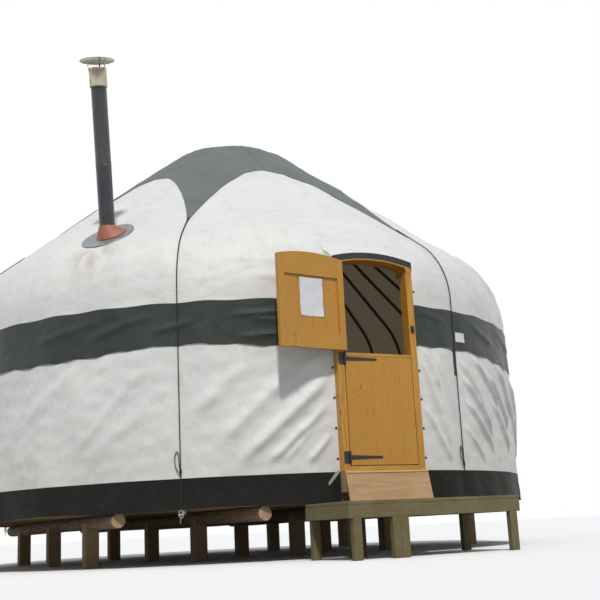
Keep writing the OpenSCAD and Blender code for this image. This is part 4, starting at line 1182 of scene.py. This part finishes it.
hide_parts("platform_posts")
dress("door_bearer", wood("bearer_wood", (0.46, 0.325, 0.185), (0.30, 0.20, 0.105), 60, 0.75, bump=0.8, grain_from="x"))

# Log bearers
# Five round logs with thin bark still on lie under the joists and stick out a little at the front, with
# their pale sawn ends.
bark, nt, b, co = material("bark", 0.9)
g = grain_of(nt)
cracks = noise(nt, scaled(nt, g, 6, 55, 55), 1.0, 6, 0.65, 0.4)
c = mix(nt, ramp(nt, cracks, (0.35, 0.0), (0.65, 1.0)), (0.16, 0.105, 0.065), (0.33, 0.24, 0.16))
finish_material(nt, b, c, None, (cracks, 0.8, 0.006))
sawn_end, nt, b, co = material("sawn_end", 0.8)
far = length_of(nt, scaled(nt, grain_of(nt), 0, 1, 1))
rings = math_node(nt, "SINE", times(nt, far, 1100.0))
c = mix(nt, ramp(nt, rings, (0.2, 0.0), (0.9, 1.0)), (0.52, 0.37, 0.21), (0.36, 0.23, 0.12))
c = mix(nt, ramp(nt, noise(nt, co, 30, 4), (0.45, 0.0), (0.7, 0.6)), c, (0.22, 0.16, 0.10))
finish_material(nt, b, c, None, (noise(nt, co, 300, 3), 0.5, 0.0008))
LOG_SIDES, LOG_Z = 28, 0.345
rng = np.random.default_rng(77)
parts = []
for i in range(-2, 3):
    x, reach = i * POST_STEP, math.sqrt(R * R - (i * POST_STEP) ** 2) - 0.02
    along = np.linspace(-reach, reach - 0.15, 60)
    shift, ph = rng.uniform(-20, 20), rng.uniform(0, 6.28, 6)
    verts, grain = [], []
    for j, y in enumerate(along):
        dx, dz = 0.0025 * math.sin(y * 2.1 + ph[0]), 0.0015 * math.sin(y * 1.7 + ph[1])
        for k in range(LOG_SIDES):
            w = 2 * math.pi * k / LOG_SIDES
            r = 0.0535 + 0.0014 * math.sin(2 * w + ph[2] + y * 0.5) + 0.0010 * math.sin(5 * w + ph[3] + y * 3) \
                + 0.0006 * math.sin(9 * w + y * 9 + ph[4])
            if j in (0, len(along) - 1):
                r -= 0.0015
            verts.append((x + dx + r * math.cos(w), y, LOG_Z + dz + r * math.sin(w)))
            grain.append((y + shift, r * math.cos(w), r * math.sin(w)))
    faces = prism_faces(len(along), LOG_SIDES, ends=False)
    # each end is a fan of triangles about its middle
    for j in (0, len(along) - 1):
        for k in range(LOG_SIDES):
            faces.append((j * LOG_SIDES + k, j * LOG_SIDES + (k + 1) % LOG_SIDES, len(verts)))
        verts.append((x, along[j], LOG_Z))
        grain.append((along[j] + shift, 0.004, 0.003))
    parts.append((verts, faces, grain))
v, f, g = merged(parts)
logs = piece("log_rows", v, f, bark, grain=g, angle=50)
logs.data.materials.append(sawn_end)
for q in logs.data.polygons:
    q.material_index = int(len(q.vertices) == 3)
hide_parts("log_bearers")

# Threshold board
# A sheet of plywood leans out from the sill's foot to the landing and covers the gap below the door. A pale
# strip finishes its upper edge, and four screws hold it.
plywood, nt, b, co = material("plywood", 0.6)
g = grain_of(nt)
flame = noise(nt, scaled(nt, g, 2.2, 16, 16), 1.0, 4, 0.6, 1.2)
fine = noise(nt, scaled(nt, g, 12, 300, 300), 1.0, 3)
c = mix(nt, ramp(nt, flame, (0.35, 0.0), (0.65, 1.0)), (0.56, 0.375, 0.205), (0.43, 0.265, 0.13))
c = mix(nt, times(nt, fine, 0.5), c, (0.33, 0.20, 0.10))
finish_material(nt, b, c, None, (fine, 0.4, 0.0004))
pale_pine = wood("pale_pine", (0.68, 0.46, 0.19), (0.52, 0.31, 0.11), 70, 0.5, 0.1)
LEAN = math.radians(13.5)


def leaning(p):
    """From the board's own axes (across, out, down) to where it leans below the door."""
    x, out, down = p
    y, z = -2.736 - out * math.cos(LEAN) - down * math.sin(LEAN), 0.6195 + out * math.sin(LEAN) - down * math.cos(LEAN)
    return x, y, z


part = box_part((-FRAME_HALF, 0.0, 0.0), (FRAME_HALF, 0.018, 0.2345), 0, 31, 4, leaning)
threshold = boards("threshold_plywood", [part], plywood, 0.0012)
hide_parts("threshold_board")
part = box_part((-FRAME_HALF, 0.0182, 0.001), (FRAME_HALF, 0.0235, 0.018), 0, 32, 4, leaning)
nosing = boards("threshold_nosing", [part], pale_pine, 0.002)
at = np.array([leaning((x, 0.0181, down)) for x in (-0.33, 0.33) for down in (0.045, 0.195)])
out = np.array(leaning((0, 1, 0))) - leaning((0, 0, 0))
screws = head_rows("threshold_screws", at, at * 0 + out, 0.0045, 0.0012, galvanised)

# Landing
# Six boards on a frame of joists, on six legs, of which the middle two are doubled posts. It is treated
# softwood that has gone green and grey outdoors.
weathered = wood("weathered_timber", (0.200, 0.150, 0.058), (0.115, 0.085, 0.033), 65, 0.8, grey=(0.185, 0.168, 0.100),
                 bump=0.9)
SIDE, FORE, AFT, GAP = 0.72, -3.375, -2.75, 0.006
FRAME_LOW, FRAME_TOP = 0.2733, 0.363
pitch = (AFT - FORE + GAP) / 6
rng = np.random.default_rng(5)
parts = []
for i in range(6):
    y0, (e0, e1) = FORE + i * pitch, rng.uniform(0, 0.005, 2)
    parts.append(box_part((-SIDE + e0, y0, 0.3633), (SIDE - e1, y0 + pitch - GAP, 0.388), 0, 640 + i, 8))
planks = boards("landing_planks", parts, weathered, 0.0035)
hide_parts("landing_boards")
at = np.array([(x, FORE + i * pitch + dy, 0.3879)
               for x in (-0.697, 0.0, 0.697) for i in range(6) for dy in (0.025, 0.078)])
screws = head_rows("landing_screws", at, np.broadcast_to(UP, at.shape), 0.0048, 0.0012, galvanised)
parts = [box_part((-SIDE, y0, FRAME_LOW), (SIDE, y1, FRAME_TOP), 0, seed, 6)
         for y0, y1, seed in ((FORE, -3.330, 660), (-2.795, AFT, 661))]
for i, x in enumerate((-0.72, -0.0225, 0.675)):
    parts.append(box_part((x, -3.3298, 0.2735), (x + 0.045, -2.7952, 0.3628), 1, 662 + i, 3))
beams = boards("landing_frame", parts, weathered, 0.003)
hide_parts("landing_beams")
parts = []
for k, y in enumerate((FORE, -2.795)):
    for j, (x0, x1) in enumerate(((-0.69, -0.625), (0.625, 0.69), (-0.378, -0.3135), (-0.3125, -0.248))):
        parts.append(box_part((x0, y + 0.0002, 0.0), (x1, y + 0.0448, 0.273), 2, 670 + k * 4 + j, 3))
legs = boards("landing_leg_posts", parts, weathered, 0.003)
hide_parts("landing_legs")

# Flue plate and boot
# The stove pipe goes through a round aluminium plate on the canvas. A ribbed boot of terracotta silicone
# seals the pipe to the plate.
FOOT = Vector((-1.7826, -1.4958, 2.6667))


def turn(degrees, axis):
    return Matrix.Rotation(math.radians(degrees), 4, axis)


LEANING = Matrix.Translation(FOOT) @ turn(60, "Z") @ turn(-14, "Y")
ON_ROOF = Matrix.Translation(FOOT) @ turn(-50, "Z") @ turn(38, "X")


def polar(r, w, z=0.0):
    return Vector((r * math.cos(w), r * math.sin(w), z))


def turned(profile, place, sides=64):
    """A closed ring of (radius, height) turned about an axis, as a solid; where it meets the axis it closes."""
    verts = [place @ polar(r, 2 * math.pi * k / sides, z) for k in range(sides) for r, z in profile]
    faces, n = [], len(profile)
    for k in range(sides):
        for i in range(n):
            j = (i + 1) % n
            a, b = k * n, (k + 1) % sides * n
            if profile[i][0] > 1e-6 or profile[j][0] > 1e-6:
                faces.append((a + i, b + i, b + j, a + j))
    return verts, faces


aluminium, nt, b, co = material("plate_metal", 0.5, Metallic=0.7)
c = mix(nt, noise(nt, co, 12, 5, 0.7), (0.30, 0.33, 0.35), (0.20, 0.225, 0.24))
finish_material(nt, b, c, None, (noise(nt, co, 25, 3), 0.4, 0.003))
ring = [(0.101, 0.0008), (0.2245, 0.0008), (0.2275, 0.0030), (0.2245, 0.0052), (0.2180, 0.0034), (0.101, 0.0034)]
plate = piece("flue_plate_sheet", *turned(ring, ON_ROOF, 72), aluminium, angle=30)
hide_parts("flue_plate")
at = np.array([ON_ROOF @ polar(0.206, 2 * math.pi * (k + 0.5) / 12, 0.0036) for k in range(12)])
screws = head_rows("flue_plate_screws", at, at * 0 + (ON_ROOF.to_3x3() @ Vector(UP)), 0.0060, 0.0026, galvanised)
silicone, nt, b, co = material("terracotta_silicone", 0.55)
c = mix(nt, ramp(nt, noise(nt, co, 22, 4, 0.6), (0.35, 0.0), (0.7, 1.0)), (0.40, 0.135, 0.085), (0.29, 0.095, 0.065))
finish_material(nt, b, c, None, (noise(nt, co, 160, 3), 0.3, 0.0008))
# the boot's steps: share of its height, and share of the way from the round top to the wide foot
steps = [(0.0, 1.0), (0.0, 1.0), (0.10, 0.98), (0.12, 0.84), (0.30, 0.80), (0.32, 0.68), (0.52, 0.62), (0.54, 0.48),
         (0.74, 0.42), (0.76, 0.22), (0.96, 0.10), (1.0, 0.0)]
BOOT_H, BOOT_TURN, sides = 0.088, 1.92, 56
around = [2 * math.pi * k / sides for k in range(sides)]
verts = [ON_ROOF @ polar(0.098, w, 0.0036) for w in around]
for level, (up, wide) in enumerate(steps):
    for w in around:
        low = ON_ROOF @ (polar(0.118, w, 0.0036 if level == 0 else 0.012) + Vector((0.040 * wide, 0.008, 0)))
        high = LEANING @ polar(0.0655, w - BOOT_TURN, BOOT_H)
        rise = LEANING.to_3x3() @ Vector((0, 0, BOOT_H * (up - 1 + wide)))
        verts.append(high.lerp(low, wide) + rise * (1 - wide) * 0.35)
verts += [LEANING @ polar(0.0645, w - BOOT_TURN, 0.087) for w in around]
faces, last = prism_faces(len(steps) + 2, sides, ends=False), (len(steps) + 1) * sides
for k in range(sides):
    j = (k + 1) % sides
    faces.append((last + k, last + j, j, k))
boot = piece("flue_boot_ribbed", verts, faces, silicone, angle=30)
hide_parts("flue_boot")

# Stove pipe and cowl
# A dark enamelled steel pipe in two lengths, sleeved together and held by a screw. A bright steel length
# stands on it, and a thin cap is fixed to that by three legs.
enamel, nt, b, co = material("enamelled_pipe", 0.42, Coat_Weight=0.3, Coat_Roughness=0.3)
streak = noise(nt, scaled(nt, co, 30, 30, 2.5), 1.0, 4)
c = mix(nt, ramp(nt, streak, (0.35, 0.0), (0.75, 1.0)), (0.030, 0.034, 0.042), (0.060, 0.063, 0.070))
finish_material(nt, b, c, None, (noise(nt, co, 90, 3), 0.15, 0.0008))
bright, nt, b, co = material("bright_steel", 0.28, Metallic=1.0)
stain = noise(nt, scaled(nt, co, 14, 14, 3), 1.0, 5, 0.65)
c = mix(nt, ramp(nt, stain, (0.35, 0.0), (0.7, 1.0)), (0.52, 0.48, 0.36), (0.30, 0.27, 0.19))
finish_material(nt, b, c, ramp(nt, stain, (0.3, 0.22), (0.8, 0.42)), (noise(nt, co, 200, 2), 0.1, 0.0005))
wall = [(0.0612, -0.300), (0.0640, -0.300), (0.0640, 0.560), (0.0652, 0.562), (0.0652, 0.606), (0.0640, 0.612),
        (0.0640, 1.2278), (0.0612, 1.2278)]
pipe = piece("stove_pipe_lengths", *turned(wall, LEANING), enamel, angle=30)
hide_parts("flue_pipe")
screw = [LEANING @ polar(r, math.radians(-150), 0.585) for r in (0.0645, 0.0668, 0.0680)]
wall = [(0.0612, 1.2282), (0.0722, 1.2282), (0.0730, 1.2300), (0.0730, 1.2440), (0.0722, 1.2460), (0.0722, 1.3680),
        (0.0730, 1.3700), (0.0730, 1.3840), (0.0722, 1.3858), (0.0612, 1.3858)]
cap = [(0.0, 1.4640), (0.050, 1.4600), (0.132, 1.4490), (0.1415, 1.4470), (0.1440, 1.4482), (0.1440, 1.4500),
       (0.1415, 1.4510), (0.055, 1.4660), (0.020, 1.4705), (0.0, 1.4715)]
parts = [turned(wall, LEANING), turned(cap, LEANING), tube(screw, [0.0058, 0.0050, 0.0018], 10)]
for k in range(3):
    at = LEANING @ turn(120 * k, "Z") @ Matrix.Translation((0.0712, 0, 1.352)) @ turn(10, "Y")
    parts.append(box_part((-0.0006, -0.006, 0.0), (0.0024, 0.006, 0.098), 2, 1, 3, lambda q: at @ Vector(q))[:2])
cowl = piece("flue_cowl_steel", *merged(parts), bright, angle=30)
# the cap's two middles are many vertices in one place, which become one
edited(cowl, lambda bm: bmesh.ops.remove_doubles(bm, verts=bm.verts, dist=0.00001))
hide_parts("flue_cowl")
